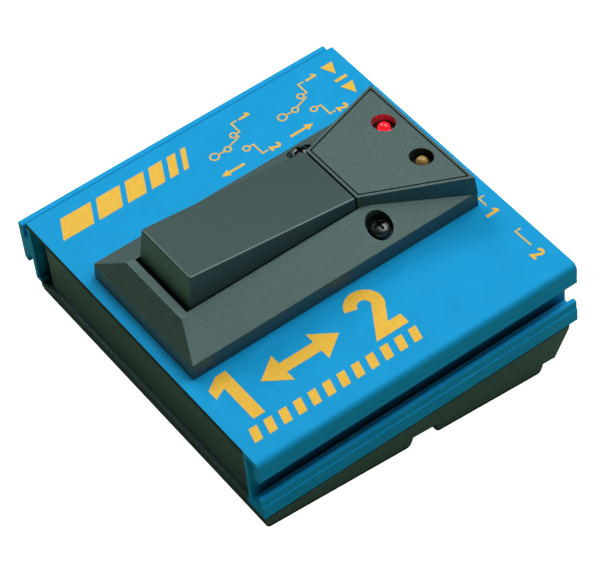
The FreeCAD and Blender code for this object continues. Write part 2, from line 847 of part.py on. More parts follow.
def eased_block(raised):
    """The block with its upper outline and its corners slightly rounded."""

    def outside(edge):
        if edge.BoundBox.ZMax < OPENING_EDGE_HEIGHT:
            return False
        upper = on_top_plane(edge) and edge.BoundBox.YMax > BLOCK_FRONT + BLOCK_EDGE
        corner = edge.BoundBox.ZLength > BLOCK_EDGE and edge.BoundBox.XLength < BLOCK_EDGE
        return upper or corner

    return softened(raised, BLOCK_EDGE, outside)


def lamp_holes(radius, low):
    """Two upright holes over the lamps."""
    high = 2 * TOP_BACK_HEIGHT
    return [upright(radius, x, LAMP_Y, (low, high)) for x in (-LAMP_X, LAMP_X)]


def collar():
    """Curb that hangs from the edge of the treadle's opening."""
    inner = block(
        (-OPENING_SIDE, OPENING_SIDE), (OPENING_FRONT, BLOCK_FRONT), (-PLATE, 2 * TOP_BACK_HEIGHT)
    )
    outer = block(
        (-OPENING_SIDE - COLLAR_WALL, OPENING_SIDE + COLLAR_WALL),
        (OPENING_FRONT - COLLAR_WALL, BLOCK_FRONT + COLLAR_WALL),
        (COLLAR_FOOT, BEZEL_RIDGE_HEIGHT - BEZEL_WALL / 2),
    )
    return outer.cut(inner)


def hinge_cheeks():
    """Two thicker places on the curb that hold the ends of the hinge pin."""
    cheeks = []
    reach = CHEEK_HALF
    for x in ((-OPENING_SIDE - CHEEK, -OPENING_SIDE), (OPENING_SIDE, OPENING_SIDE + CHEEK)):
        cheeks.append(
            drawn_x(
                [
                    (PIVOT_Y - reach, PIVOT_W - reach, CHEEK_ROUND),
                    (PIVOT_Y + reach, PIVOT_W - reach, CHEEK_ROUND),
                    (PIVOT_Y + reach, BEZEL_RIDGE_HEIGHT - BEZEL_WALL),
                    (PIVOT_Y - reach, BEZEL_RIDGE_HEIGHT - BEZEL_WALL),
                ],
                x,
            )
        )
    return cheeks


def treadle_bezel():
    """Sloped bezel with the treadle's opening and the indicator block."""
    form = bezel_form().common(under_top(0, 0))
    room = bezel_room()
    roof = PANEL + BEZEL_WALL
    shell = form.cut(room)
    raised = indicator_block(0, 0, BEZEL_RIM_HEIGHT)
    raised = raised.cut(room)
    body = joined(shell, eased_block(raised))
    bosses = []
    for x in (-SCREW_X, SCREW_X):
        boss = upright(SCREW_POCKET + SCREW_BOSS_WALL, x, SCREW_Y, (0, BEZEL_RIDGE_HEIGHT))
        bosses.append(boss.common(form))
    for x, y in LAMP_BOARD_SCREW_PLACES:
        ceiling = top_plane(y) - roof + BEZEL_WALL / 2
        bosses.append(upright(LAMP_BOARD_POST, x, y, (LAMP_BOARD_TOP, ceiling)))
    tools = [
        indicator_block(BEZEL_WALL, roof, 0),
        indicator_block(PANEL_BORDER, 0, TOP_BACK_HEIGHT / 2).cut(
            under_top(PANEL, 0)
        ),
        block(
            (-OPENING_SIDE, OPENING_SIDE),
            (OPENING_FRONT, BLOCK_FRONT),
            (-PLATE, 2 * TOP_BACK_HEIGHT),
        ),
        *lamp_holes(LAMP_HOLE, LAMP_BOARD_TOP),
    ]
    body = less(body, *tools)
    body = joined(body, collar(), *bosses, *hinge_cheeks())
    bores = []
    for x in (-SCREW_X, SCREW_X):
        bores.append(upright(SCREW_SHANK + CLEARANCE, x, SCREW_Y, (-PLATE, SCREW_SEAT)))
        bores.append(
            upright(SCREW_POCKET, x, SCREW_Y, (SCREW_SEAT, 2 * BEZEL_RIDGE_HEIGHT))
        )
    for x, y in LAMP_BOARD_SCREW_PLACES:
        depth = LAMP_BOARD_SCREW_LENGTH - LAMP_BOARD + LAMP_BOARD_SCREW_ROOM
        bores.append(upright(BOARD_SCREW, x, y, (LAMP_BOARD_TOP, LAMP_BOARD_TOP + depth)))
    bores.append(hinge_pin())
    return less(body, *bores)


def indicator_panel():
    """Inset four-sided panel with the two lamp holes."""
    plate = indicator_block(PANEL_BORDER + PANEL_GROOVE, 0, TOP_BACK_HEIGHT / 2)
    plate = plate.cut(under_top(PANEL, 0))
    return less(plate, *lamp_holes(LAMP_HOLE, 0))


def hinge_pin():
    """Steel pin that the treadle turns on."""
    end = OPENING_SIDE + CHEEK
    return rod(PIN_RADIUS, (-end, PIVOT_Y, PIVOT_W), (end, PIVOT_Y, PIVOT_W))


def treadle_form(wall, foot):
    """The treadle's plain outer form, or its hollow when a wall is given."""
    side = OPENING_SIDE - TREADLE_GAP - wall
    top_side = TREADLE_TOP_SIDE - wall
    front = TREADLE_FRONT + wall
    front_top = TREADLE_FRONT_TOP + wall
    back = BLOCK_FRONT - TREADLE_BACK_GAP - wall
    high = top_plane(TREADLE_FRONT_TOP)
    from_side = drawn_x(
        [
            (front, foot),
            (front, OPENING_EDGE_HEIGHT),
            (front_top, top_plane(front_top) - wall),
            (back, top_plane(back) - wall),
            (back, foot),
        ],
        (-side, side),
    )
    from_front = drawn_y(
        [
            (-side, foot),
            (side, foot),
            (side, OPENING_EDGE_HEIGHT),
            (top_side, high),
            (-top_side, high),
            (-side, OPENING_EDGE_HEIGHT),
        ],
        (front, back),
    )
    return from_side.common(from_front)


def rounded_treadle():
    """The treadle's outer form with its front corners and its top outline rounded.

    The rounding runs on from both sides along the front, because those edges join smoothly.
    """
    form = treadle_form(0, TREADLE_SKIRT)
    middle = (TREADLE_FRONT + BLOCK_FRONT) / 2

    def at_front_corner(edge):
        box = edge.BoundBox
        return box.ZLength > 2 * TREADLE_CORNER and box.XLength < 1.0 and box.YMax < middle

    def along_side(edge):
        return on_top_plane(edge) and edge.BoundBox.YLength > 2 * OPENING_SIDE

    form = softened(form, TREADLE_CORNER, at_front_corner)
    return softened(form, TREADLE_EDGE, along_side)


def treadle():
    """Hollow rocker with hinge ears, a pusher for the switch and a spring spigot."""
    side = OPENING_SIDE - TREADLE_GAP
    body = less(rounded_treadle(), treadle_form(TREADLE_WALL, 0))
    additions = []
    for x in ((-side, TREADLE_WALL - side), (side - TREADLE_WALL, side)):
        start = (x[0], PIVOT_Y, PIVOT_W)
        end = (x[1], PIVOT_Y, PIVOT_W)
        additions.append(rod(EAR_RADIUS, start, end))
    pusher_low = PLUNGER_TOP + PUSHER_GAP + PUSHER_RADIUS
    pusher_top = top_plane(SWITCH_Y) - TREADLE_WALL / 2
    half = PUSHER_RADIUS
    around = (SWITCH_Y - half, SWITCH_Y + half)
    additions.append(block((-half, half), around, (pusher_low, pusher_top)))
    additions.append(rod(half, (-half, SWITCH_Y, pusher_low), (half, SWITCH_Y, pusher_low)))
    spigot = SPRING_RADIUS - 2 * SPRING_WIRE
    roof = top_plane(SPRING_Y) - TREADLE_WALL
    additions.append(upright(spigot, 0, SPRING_Y, (roof - SPIGOT, roof + TREADLE_WALL / 2)))
    for y in (SWITCH_Y + RIB_FROM_SWITCH, PIVOT_Y - RIB_FROM_PIVOT):
        rib = (OPENING_EDGE_HEIGHT - RIB, top_plane(y) - TREADLE_WALL / 2)
        reach = side - TREADLE_WALL / 2
        additions.append(block((-reach, reach), (y, y + RIB), rib))
    body = joined(body, *additions)
    pin_hole = rod(
        PIN_RADIUS + PIN_PLAY, (-side, PIVOT_Y, PIVOT_W), (side, PIVOT_Y, PIVOT_W)
    )
    return less(body, pin_hole)


def treadle_spring():
    """Compression spring between the plate and the treadle."""
    low = SPRING_WIRE
    high = top_plane(SPRING_Y + SPRING_RADIUS) - TREADLE_WALL - SPRING_WIRE
    outer = upright(SPRING_RADIUS + SPRING_WIRE, 0, SPRING_Y, (low - SPRING_WIRE, high))
    inner = upright(SPRING_RADIUS - SPRING_WIRE, 0, SPRING_Y, (-PAST, high + PAST))
    return outer.cut(inner)


def foot_switch():
    """Latching push switch on the main board."""
    side = SWITCH_HALF
    case = drawn_w(
        [
            (-side, SWITCH_Y - side, SWITCH_ROUND),
            (side, SWITCH_Y - side, SWITCH_ROUND),
            (side, SWITCH_Y + side, SWITCH_ROUND),
            (-side, SWITCH_Y + side, SWITCH_ROUND),
        ],
        (BOARD_TOP, SWITCH_TOP),
    )
    collar = upright(COLLAR_RADIUS, 0, SWITCH_Y, (SWITCH_TOP, SWITCH_TOP + COLLAR_HEIGHT))
    bore = upright(
        PLUNGER_RADIUS + PLUNGER_PLAY, 0, SWITCH_Y, (-SWITCH_DEPTH_FREE, 0)
    )
    return less(joined(case, collar), bore)


def switch_plunger():
    """Stem of the foot switch, with the flat cap that the treadle pushes."""
    cap_low = PLUNGER_TOP - PLUNGER_CAP_HEIGHT
    stem = upright(PLUNGER_RADIUS, 0, SWITCH_Y, (PLUNGER_FOOT, cap_low))
    cap = upright(PLUNGER_CAP, 0, SWITCH_Y, (cap_low, PLUNGER_TOP))
    return joined(stem, cap)


def main_board():
    """L-shaped circuit board with the ribbon's header."""
    board = drawn_w(
        [
            (BOARD_LEFT, BOARD_FRONT, BOARD_ROUND),
            (BOARD_RIGHT, BOARD_FRONT, BOARD_ROUND),
            (BOARD_RIGHT, BOARD_WING_FRONT, BOARD_ROUND),
            (BOARD_WING_RIGHT, BOARD_WING_FRONT, BOARD_ROUND),
            (BOARD_WING_RIGHT, BOARD_BACK, BOARD_ROUND),
            (BOARD_LEFT, BOARD_BACK, BOARD_ROUND),
        ],
        (BOARD_UNDER, BOARD_TOP),
    )
    side = RIBBON_HALF_WIDTH + HEADER_END
    header = block(
        (-side, side),
        (RIBBON_Y - HEADER_HALF, RIBBON_Y + HEADER_HALF),
        (BOARD_TOP, BOARD_TOP + HEADER_HEIGHT),
    )
    socket = block(
        (-RIBBON_HALF_WIDTH, RIBBON_HALF_WIDTH),
        (RIBBON_Y - RIBBON / 2, RIBBON_Y + RIBBON / 2),
        (BOARD_TOP + HEADER_FLOOR, BOARD_TOP + HEADER_HEIGHT),
    )
    tools = [socket]
    for x, y in BOARD_SCREW_PLACES:
        tools.append(
            upright(BOARD_SCREW + CLEARANCE, x, y, (BOARD_UNDER - PAST, BOARD_TOP + PAST))
        )
    clear = SCREW_HEAD + 2 * CLEARANCE
    for x in (-SCREW_X, SCREW_X):
        tools.append(upright(clear, x, SCREW_Y, (BOARD_UNDER - PAST, BOARD_TOP + PAST)))
    return less(joined(board, header), *tools)


def lamp_board():
    """Small board that stands under the indicator block."""
    side = LAMP_BOARD_SIDE
    board = drawn_w(
        [
            (-side, LAMP_BOARD_Y[0], LAMP_BOARD_ROUND),
            (side, LAMP_BOARD_Y[0], LAMP_BOARD_ROUND),
            (side, LAMP_BOARD_Y[1], LAMP_BOARD_ROUND),
            (-side, LAMP_BOARD_Y[1], LAMP_BOARD_ROUND),
        ],
        (LAMP_BOARD_TOP - LAMP_BOARD, LAMP_BOARD_TOP),
    )
    tools = []
    for x, y in LAMP_BOARD_SCREW_PLACES:
        tools.append(upright(BOARD_SCREW + CLEARANCE, x, y, (0, LAMP_BOARD_TOP + PAST)))
    for x in (-LAMP_X, LAMP_X):
        for leg in (-LAMP_LEG_SPACING, LAMP_LEG_SPACING):
            tools.append(upright(LAMP_LEG, x + leg, LAMP_Y, (0, LAMP_BOARD_TOP + PAST)))
    return less(board, *tools)


def lamp(x):
    """Round-topped 3 mm lamp with its flange and two legs."""
    centre = top_plane(LAMP_Y) - LAMP_CENTRE_DEPTH
    foot = LAMP_BOARD_TOP
    pieces = [
        Part.makeSphere(LAMP_RADIUS, V(x, LAMP_Y, centre)),
        upright(LAMP_FLANGE, x, LAMP_Y, (foot, foot + LAMP_FLANGE_HEIGHT)),
    ]
    for leg in (-LAMP_LEG_SPACING, LAMP_LEG_SPACING):
        low = foot - LAMP_BOARD - LAMP_LEG_OUT
        pieces.append(upright(LAMP_LEG, x + leg, LAMP_Y, (low, foot + LAMP_FLANGE_HEIGHT / 2)))
    return joined(upright(LAMP_RADIUS, x, LAMP_Y, (foot, centre)), *pieces)


def lamp_sleeves():
    """Two black sleeves that stand round the lamps inside the panel's holes."""
    sleeves = []
    foot = LAMP_BOARD_TOP + LAMP_FLANGE_HEIGHT
    high = top_plane(LAMP_Y) - SLEEVE_TOP_DEPTH
    for x in (-LAMP_X, LAMP_X):
        outer = upright(LAMP_HOLE - SLEEVE_PLAY, x, LAMP_Y, (LAMP_BOARD_TOP, high))
        bore = upright(LAMP_RADIUS + SLEEVE_PLAY, x, LAMP_Y, (foot, high + PAST))
        seat = upright(LAMP_FLANGE + SLEEVE_PLAY, x, LAMP_Y, (0, foot + SLEEVE_PLAY))
        sleeves.append(less(outer, bore, seat))
    return Part.makeCompound(sleeves)


def lamp_ribbon():
    """Flat cable from the lamp board through the plate to the main board."""
    level = LAMP_BOARD_TOP - LAMP_BOARD / 2
    foot = BOARD_TOP + HEADER_FLOOR
    outer = RIBBON / 2
    return drawn_x(
        [
            (LAMP_BOARD_Y[0], level - outer),
            (LAMP_BOARD_Y[0], level + outer),
            (RIBBON_Y - outer, level + outer, RIBBON_BEND + outer),
            (RIBBON_Y - outer, foot),
            (RIBBON_Y + outer, foot),
            (RIBBON_Y + outer, level - outer, RIBBON_BEND - outer),
        ],
        (-RIBBON_HALF_WIDTH, RIBBON_HALF_WIDTH),
    )


def cross_recess(x, y, top, reach):
    """Cutter for a screw's cross recess."""
    half = reach / 4
    one = block((x - reach, x + reach), (y - half, y + half), (top - reach, top + PAST))
    two = block((x - half, x + half), (y - reach, y + reach), (top - reach, top + PAST))
    return joined(one, two)


def pan_screw(x, y, seat, head, head_height, shank, depth):
    """Pan-head screw standing on a seat, with an eased head and a cross recess."""
    top = upright(head, x, y, (seat, seat + head_height))
    rim = [edge for edge in top.Edges if edge.BoundBox.ZMin > seat + head_height / 2]
    top = top.makeChamfer(head_height * PAN_EDGE, rim)
    body = joined(top, upright(shank, x, y, (seat - depth, seat)))
    return less(body, cross_recess(x, y, seat + head_height, head * RECESS_REACH))


def bezel_screws():
    """Two screws through the bezel and the plate into the base."""
    return Part.makeCompound(
        [
            pan_screw(
                x, SCREW_Y, SCREW_SEAT, SCREW_HEAD, SCREW_HEAD_HEIGHT, SCREW_SHANK, SCREW_DEPTH
            )
            for x in (-SCREW_X, SCREW_X)
        ]
    )


def board_screws():
    """Four screws that hold the main board."""
    return Part.makeCompound(
        [
            pan_screw(
                x,
                y,
                BOARD_TOP,
                BOARD_SCREW_HEAD,
                BOARD_SCREW_HEAD_HEIGHT,
                BOARD_SCREW,
                BOARD_SCREW_LENGTH,
            )
            for x, y in BOARD_SCREW_PLACES
        ]
    )


def lamp_board_screws():
    """Two screws that hold the lamp board, driven from below."""
    screws = []
    seat = LAMP_BOARD_TOP - LAMP_BOARD
    length = LAMP_BOARD_SCREW_LENGTH
    for x, y in LAMP_BOARD_SCREW_PLACES:
        screw = pan_screw(
            x, y, seat, BOARD_SCREW_HEAD, BOARD_SCREW_HEAD_HEIGHT, BOARD_SCREW, length
        )
        screw.rotate(V(x, y, seat), V(1, 0, 0), 180)
        screws.append(screw)
    return Part.makeCompound(screws)


def jack_body(x):
    """Moulded jack body with a blind bore for the plug."""
    front = ROOM_BACK
    low = BOARD_TOP
    case = drawn_y(
        [
            (x - JACK_HALF, low, JACK_FOOT_ROUND),
            (x + JACK_HALF, low, JACK_FOOT_ROUND),
            (x + JACK_HALF, low + JACK_BODY, JACK_ROUND),
            (x - JACK_HALF, low + JACK_BODY, JACK_ROUND),
        ],
        (front - JACK_LENGTH, front),
    )
    bore = rod(JACK_BORE, (x, front - JACK_LENGTH + JACK_END, JACK_AXIS), (x, front, JACK_AXIS))
    seat = rod(SLEEVE_RADIUS, (x, front - SLEEVE_SEAT, JACK_AXIS), (x, front, JACK_AXIS))
    return less(case, bore, seat)


def jack_sleeve(x):
    """Threaded sleeve that guides the plug through the back wall."""
    start = (x, ROOM_BACK - SLEEVE_SEAT, JACK_AXIS)
    end = (x, BASE_BACK + SLEEVE_REACH, JACK_AXIS)
    return rod(SLEEVE_RADIUS, start, end).cut(rod(PLUG_BORE, start, end))


def jack_washers():
    """Three washers against the back wall."""
    washers = []
    for _, x in JACK_PLACES:
        start = (x, BASE_BACK, JACK_AXIS)
        end = (x, BASE_BACK + WASHER, JACK_AXIS)
        washers.append(rod(WASHER_RADIUS, start, end).cut(rod(SLEEVE_RADIUS, start, end)))
    return Part.makeCompound(washers)


def jack_nuts():
    """Three hexagonal nuts on the jack sleeves."""
    nuts = []
    corner = NUT_FLATS / math.sqrt(3)
    for _, x in JACK_PLACES:
        hexagon = []
        for i in range(6):
            angle = math.radians(60 * i + 30)
            hexagon.append((x + corner * math.cos(angle), JACK_AXIS + corner * math.sin(angle)))
        nut = drawn_y(hexagon, (BASE_BACK + WASHER, BASE_BACK + WASHER + NUT))
        start = (x, BASE_BACK, JACK_AXIS)
        end = (x, BASE_BACK + SLEEVE_REACH, JACK_AXIS)
        nuts.append(nut.cut(rod(SLEEVE_RADIUS, start, end)))
    return Part.makeCompound(nuts)


def cell(x, turned):
    """One round cell with its nub, lying level; turned has the nub to the front."""
    front = BAY_FRONT + CONTACT
    low = front + (CELL_NUB if turned else CELL_SPRING_LENGTH)
    high = low + CELL_LENGTH
    can = rod(CELL_RADIUS, (x, low, CELL_HEIGHT), (x, high, CELL_HEIGHT))
    can = can.makeChamfer(CELL_EDGE, [edge for edge in can.Edges if edge.BoundBox.YLength < 0.01])
    nub_from = low - CELL_NUB if turned else high
    nub = rod(
        CELL_NUB_RADIUS,
        (x, nub_from, CELL_HEIGHT),
        (x, nub_from + CELL_NUB, CELL_HEIGHT),
    )
    return levelled(joined(can, nub))


def battery_contacts():
    """Bridge plate at the front of the bay and two plates at its back."""
    low = CELL_HEIGHT - CONTACT_HALF
    high = CELL_HEIGHT + CONTACT_HALF
    front = (BAY_FRONT, BAY_FRONT + CONTACT)
    back = (BAY_BACK - CONTACT, BAY_BACK)
    bridge = (CELL_X[0] - CONTACT_HALF, CELL_X[1] + CONTACT_HALF)
    plates = [levelled(block(bridge, front, (low, high)))]
    for x in CELL_X:
        plates.append(levelled(block((x - CONTACT_HALF, x + CONTACT_HALF), back, (low, high))))
    return Part.makeCompound(plates)


def battery_springs():
    """Two contact springs, one at each cell's flat end."""
    springs = []
    starts = (BAY_FRONT + CONTACT, BAY_BACK - CONTACT - CELL_SPRING_LENGTH)
    for x, y in zip(CELL_X, starts):
        ends = ((x, y, CELL_HEIGHT), (x, y + CELL_SPRING_LENGTH, CELL_HEIGHT))
        outer = rod(CELL_SPRING_RADIUS, *ends)
        springs.append(levelled(outer.cut(rod(CELL_SPRING_RADIUS - CELL_SPRING_WIRE, *ends))))
    return Part.makeCompound(springs)


def pieces():
    """Every piece of the pedal by its name, in the deck's frame."""
    made = {
        "deck_extrusion": deck_extrusion(),
        "base_tray": base_tray(),
        "front_sole": front_sole(),
        "rear_sole": rear_sole(),
        "battery_door": battery_door(),
        "treadle_bezel": treadle_bezel(),
        "indicator_panel": indicator_panel(),
        "treadle": treadle(),
        "hinge_pin": hinge_pin(),
        "treadle_spring": treadle_spring(),
        "foot_switch": foot_switch(),
        "switch_plunger": switch_plunger(),
        "main_board": main_board(),
        "lamp_board": lamp_board(),
        "lamp_ribbon": lamp_ribbon(),
        "red_lamp": lamp(-LAMP_X),
        "amber_lamp": lamp(LAMP_X),
        "lamp_sleeves": lamp_sleeves(),
        "bezel_screws": bezel_screws(),
        "board_screws": board_screws(),
        "lamp_board_screws": lamp_board_screws(),
        "jack_washers": jack_washers(),
        "jack_nuts": jack_nuts(),
        "cell_1": cell(CELL_X[0], False),
        "cell_2": cell(CELL_X[1], True),
        "battery_contacts": battery_contacts(),
        "battery_springs": battery_springs(),
    }
    for name, x in JACK_PLACES:
        made[name + "_jack"] = jack_body(x)
        made[name + "_sleeve"] = jack_sleeve(x)
    return made


def centred(shapes):
    """The leaned shapes, moved along Y until their common box is even about Y = 0."""
    stood = {name: leaned(shape) for name, shape in shapes.items()}
    whole = Part.makeCompound(list(stood.values())).optimalBoundingBox(False)
    for shape in stood.values():
        shape.translate(V(0, -(whole.YMin + whole.YMax) / 2, -whole.ZMin))
    return stood


def main():
    os.makedirs("parts", exist_ok=True)
    stood = centred(pieces())
    for name, shape in stood.items():
        shape.exportStep("parts/" + name + ".step")
    whole = Part.makeCompound(list(stood.values())).optimalBoundingBox(False)
    print("pieces", len(stood))
    print("size", round(whole.XLength, 2), round(whole.YLength, 2), round(whole.ZLength, 2))


main()
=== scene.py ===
# %% [markdown]
# # A two-way selector foot pedal
#
# The real object is a low wedge: a blue anodised aluminium extrusion that slides over a
# black moulded base, with a black bezel, a rocking treadle and two indicator lamps on its
# deck. The frame brings every rigid piece at its real size. This script gives them their
# finish, and adds what is too fine for the frame: ink, screw threads, lamp lenses, springs
# and the parts on the circuit boards.

# %% Frame and units
import json
import math
import bmesh
import bpy
from mathutils import Matrix, Vector


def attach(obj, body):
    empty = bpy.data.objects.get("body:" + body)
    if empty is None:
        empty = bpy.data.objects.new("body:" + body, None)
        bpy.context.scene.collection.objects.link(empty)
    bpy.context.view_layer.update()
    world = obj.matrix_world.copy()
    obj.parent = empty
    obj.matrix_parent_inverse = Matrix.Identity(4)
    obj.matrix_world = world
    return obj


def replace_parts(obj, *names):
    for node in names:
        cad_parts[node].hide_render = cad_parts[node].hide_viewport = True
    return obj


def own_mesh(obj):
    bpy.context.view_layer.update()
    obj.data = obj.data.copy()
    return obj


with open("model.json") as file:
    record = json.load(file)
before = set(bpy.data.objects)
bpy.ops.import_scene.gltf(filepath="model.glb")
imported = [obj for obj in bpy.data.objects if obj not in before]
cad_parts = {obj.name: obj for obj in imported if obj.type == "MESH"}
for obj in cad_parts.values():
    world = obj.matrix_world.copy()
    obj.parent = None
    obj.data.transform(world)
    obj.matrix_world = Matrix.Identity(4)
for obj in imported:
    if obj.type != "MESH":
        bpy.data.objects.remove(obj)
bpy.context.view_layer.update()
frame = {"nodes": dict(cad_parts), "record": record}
nodes = frame["nodes"]
MM = 0.001
print("nodes", len(nodes))

# %% [markdown]
# The deck leans on its base, and all that stands on it is easier to place in the deck's own
# frame: X to the right, Y to the back, W square to the deck, in millimetres. The joining
# rail runs along the deck, so its mount gives both the lean and the height.

# %% The deck's own frame
RAIL_MIDDLE_DEPTH = 9.6
rail = next(mount for mount in frame["record"]["mounts"] if mount["name"] == "joining_rail")
RIGHT = Vector((1, 0, 0))
BACK = Vector(rail["axis"]).normalized()
UP = RIGHT.cross(BACK)
DECK_ORIGIN = Vector((0, rail["pos_m"][1], rail["pos_m"][2])) + UP * RAIL_MIDDLE_DEPTH * MM
DECK = Matrix.Translation(DECK_ORIGIN) @ Matrix((RIGHT, BACK, UP)).transposed().to_4x4()
DECK = DECK @ Matrix.Scale(MM, 4)


def deck(x, y, w=0.0):
    """Point of the deck's frame, in the row frame."""
    return DECK @ Vector((x, y, w))


print("lean", round(math.degrees(math.asin(BACK.z)), 2), "degrees")

# %% [markdown]
# Small pieces go where the frame's own pieces are. A node of the frame is a heap of loose
# triangles, so a copy is merged first, and then each separate solid in it gives its box in
# the deck's frame. The boxes come sorted from left to right.

# %% Where the frame's solids are
WELD = 0.001


def solids(name):
    """Lowest and highest corner of each separate solid of a node, in the deck's frame."""
    mesh = bmesh.new()
    mesh.from_mesh(nodes[name].data)
    bmesh.ops.remove_doubles(mesh, verts=mesh.verts, dist=WELD * MM)
    mesh.transform(DECK.inverted())
    found = []
    waiting = set(mesh.verts)
    while waiting:
        island = [waiting.pop()]
        for vert in island:
            for edge in vert.link_edges:
                other = edge.other_vert(vert)
                if other in waiting:
                    waiting.remove(other)
                    island.append(other)
        corners = [[f(v.co[i] for v in island) for i in range(3)] for f in (min, max)]
        found.append((Vector(corners[0]), Vector(corners[1])))
    mesh.free()
    return sorted(found, key=lambda box: box[0].x)


def middle(box):
    """Centre of a box."""
    return (box[0] + box[1]) / 2


screw_boxes = solids("bezel_screws")
print("bezel screws at", [tuple(round(v, 1) for v in middle(box)) for box in screw_boxes])

# %% [markdown]
# ## Camera
#
# The photograph was taken from above the front right corner with a long lens. Its place was
# solved from the corners of the deck, and it is given in the deck's frame too.

# %% Camera
CAMERA_PLACE = (408.15, -246.56, 527.73)
CAMERA_AIM = (5.01, -2.27, -12.0)
CAMERA_ROLL = -6.857
CAMERA_LENS = 176.4
CAMERA_CLIP = (0.05, 20.0)
SENSOR = 36.0


def make_camera():
    """The camera where the photograph was taken from."""
    place = deck(*CAMERA_PLACE)
    ahead = (deck(*CAMERA_AIM) - place).normalized()
    side = ahead.cross(UP).normalized()
    turn = Matrix((side, side.cross(ahead), -ahead)).transposed()
    turn = turn @ Matrix.Rotation(math.radians(CAMERA_ROLL), 3, "Z")
    data = bpy.data.cameras.new("camera")
    data.lens = CAMERA_LENS
    data.sensor_width = SENSOR
    data.clip_start, data.clip_end = CAMERA_CLIP
    camera = bpy.data.objects.new("camera", data)
    camera.matrix_world = Matrix.Translation(place) @ turn.to_4x4()
    bpy.context.scene.collection.objects.link(camera)
    bpy.context.scene.camera = camera


make_camera()

# %% [markdown]
# ## Finishes
#
# Every finish is a shader that starts from the real material. Colours are written as sRGB
# hex codes, as a colour picker gives them, and one function turns them to the linear values
# that a shader works with. All patterns read Object coordinates, which are metres here, so
# a pattern's scale is one over its real size.

# %% Colours and shader nodes
MOTTLE_DETAIL = 2.0
MOTTLE_EDGES = (0.35, 0.65)
GRAIN_SOFTNESS = 0.6


def linear(code):
    """Linear colour of an sRGB hex code."""
    channels = [int(code[i:i + 2], 16) / 255 for i in (1, 3, 5)]
    return (*[c / 12.92 if c <= 0.04045 else ((c + 0.055) / 1.055) ** 2.4 for c in channels], 1.0)


def add(tree, kind, settings=None, inputs=None):
    """Add a node with its settings, and its inputs as values or as sockets to link."""
    node = tree.nodes.new(kind)
    for name, value in (settings or {}).items():
        setattr(node, name, value)
    for name, value in (inputs or {}).items():
        if isinstance(value, bpy.types.NodeSocket):
            tree.links.new(value, node.inputs[name])
        else:
            node.inputs[name].default_value = value
    return node


def finish(name, roughness, metallic=0.0, **sockets):
    """A new material with one shader; sockets are other values of that shader."""
    material = bpy.data.materials.new(name)
    material.use_nodes = True
    tree = material.node_tree
    shader = tree.nodes["Principled BSDF"]
    shader.inputs["Roughness"].default_value = roughness
    shader.inputs["Metallic"].default_value = metallic
    for socket, value in sockets.items():
        shader.inputs[socket.replace("_", " ")].default_value = value
    return material, tree, shader


def mottle(tree, size, low, high, stretch=(1, 1, 1)):
    """Colour that wanders between two tones over patches of this size in millimetres."""
    where = add(tree, "ShaderNodeTexCoord")
    scaled = add(
        tree, "ShaderNodeMapping", inputs={"Vector": where.outputs["Object"], "Scale": stretch}
    )
    noise = add(
        tree,
        "ShaderNodeTexNoise",
        inputs={"Vector": scaled.outputs[0], "Scale": 1 / (size * MM), "Detail": MOTTLE_DETAIL},
    )
    ramp = add(tree, "ShaderNodeValToRGB", inputs={"Fac": noise.outputs["Fac"]})
    ramp.color_ramp.elements[0].position = MOTTLE_EDGES[0]
    ramp.color_ramp.elements[0].color = low
    ramp.color_ramp.elements[1].position = MOTTLE_EDGES[1]
    ramp.color_ramp.elements[1].color = high
    return ramp.outputs["Color"], noise.outputs["Fac"]


def relief(tree, shader, height, depth):
    """Bump the shader's surface by a height field, this deep in millimetres."""
    bump = add(
        tree,
        "ShaderNodeBump",
        inputs={"Height": height, "Distance": depth * MM, "Strength": 1.0},
    )
    tree.links.new(bump.outputs["Normal"], shader.inputs["Normal"])


def grains(tree, size):
    """Height field of moulded grain, with cells of this size in millimetres."""
    where = add(tree, "ShaderNodeTexCoord")
    cells = add(
        tree,
        "ShaderNodeTexVoronoi",
        {"feature": "SMOOTH_F1"},
        {"Vector": where.outputs["Object"], "Scale": 1 / (size * MM), "Smoothness": GRAIN_SOFTNESS},
    )
    return cells.outputs["Distance"]


# %% [markdown]
# The deck is aluminium, blasted, dyed blue and sealed. The blast scatters its reflections,
# so the shader is a matt blue with little metal in it. The front end of its plate is dark.
# Plastics are dark under a strong gloss, and the grain of their mould shows as bump and as a
# slight speckle. Both have painted shade in grooves: their colour itself is darkened where little
# light gets in. The span says at which share of open sky a groove is darkest, and from which
# share on it keeps its colour.

# %% Finishes of the housing
# Painted shade in grooves: the deck's darkest tone, reach and span, and the plastics' darkest tone
# and span.
PAINTED_SHADE_SAMPLES = 8
DECK_PAINTED_SHADE = ("#0A1614", 7, (0.2, 0.5))
PLASTIC_PAINTED_SHADE_TONE = "#060B0A"
PLASTIC_PAINTED_SHADE_SPAN = (0.3, 0.85)
PLATE_END_TONE = "#26352F"
PLATE_END_FRONT = -46.98
PLATE_END_LEFT = -49.4
PLATE_END_RIGHT = 45.0
PLATE_END_LOW = -1.7
BLAST_SIZE = 0.3
BLAST_DEPTH = 0.006


def painted_hollow_shade(tree, colour, dark, reach, span):
    """Painted shade: the colour darkens where walls stand closer together than this reach."""
    shut_in = add(
        tree,
        "ShaderNodeAmbientOcclusion",
        {"samples": PAINTED_SHADE_SAMPLES},
        {"Distance": reach * MM},
    )
    share = add(
        tree,
        "ShaderNodeMapRange",
        {"interpolation_type": "SMOOTHSTEP"},
        {"Value": shut_in.outputs["AO"], "From Min": span[0], "From Max": span[1]},
    )
    mix = add(
        tree,
        "ShaderNodeMix",
        {"data_type": "RGBA"},
        {0: share.outputs["Result"], 6: dark, 7: colour},
    )
    return mix.outputs[2]


def along_axis(tree, where, axis, origin):
    """Distance of a point from the deck's origin along one of its axes."""
    apart = add(
        tree,
        "ShaderNodeVectorMath",
        {"operation": "SUBTRACT"},
        {0: where.outputs["Object"], 1: origin},
    )
    return add(
        tree,
        "ShaderNodeVectorMath",
        {"operation": "DOT_PRODUCT"},
        {0: apart.outputs[0], 1: axis},
    ).outputs["Value"]


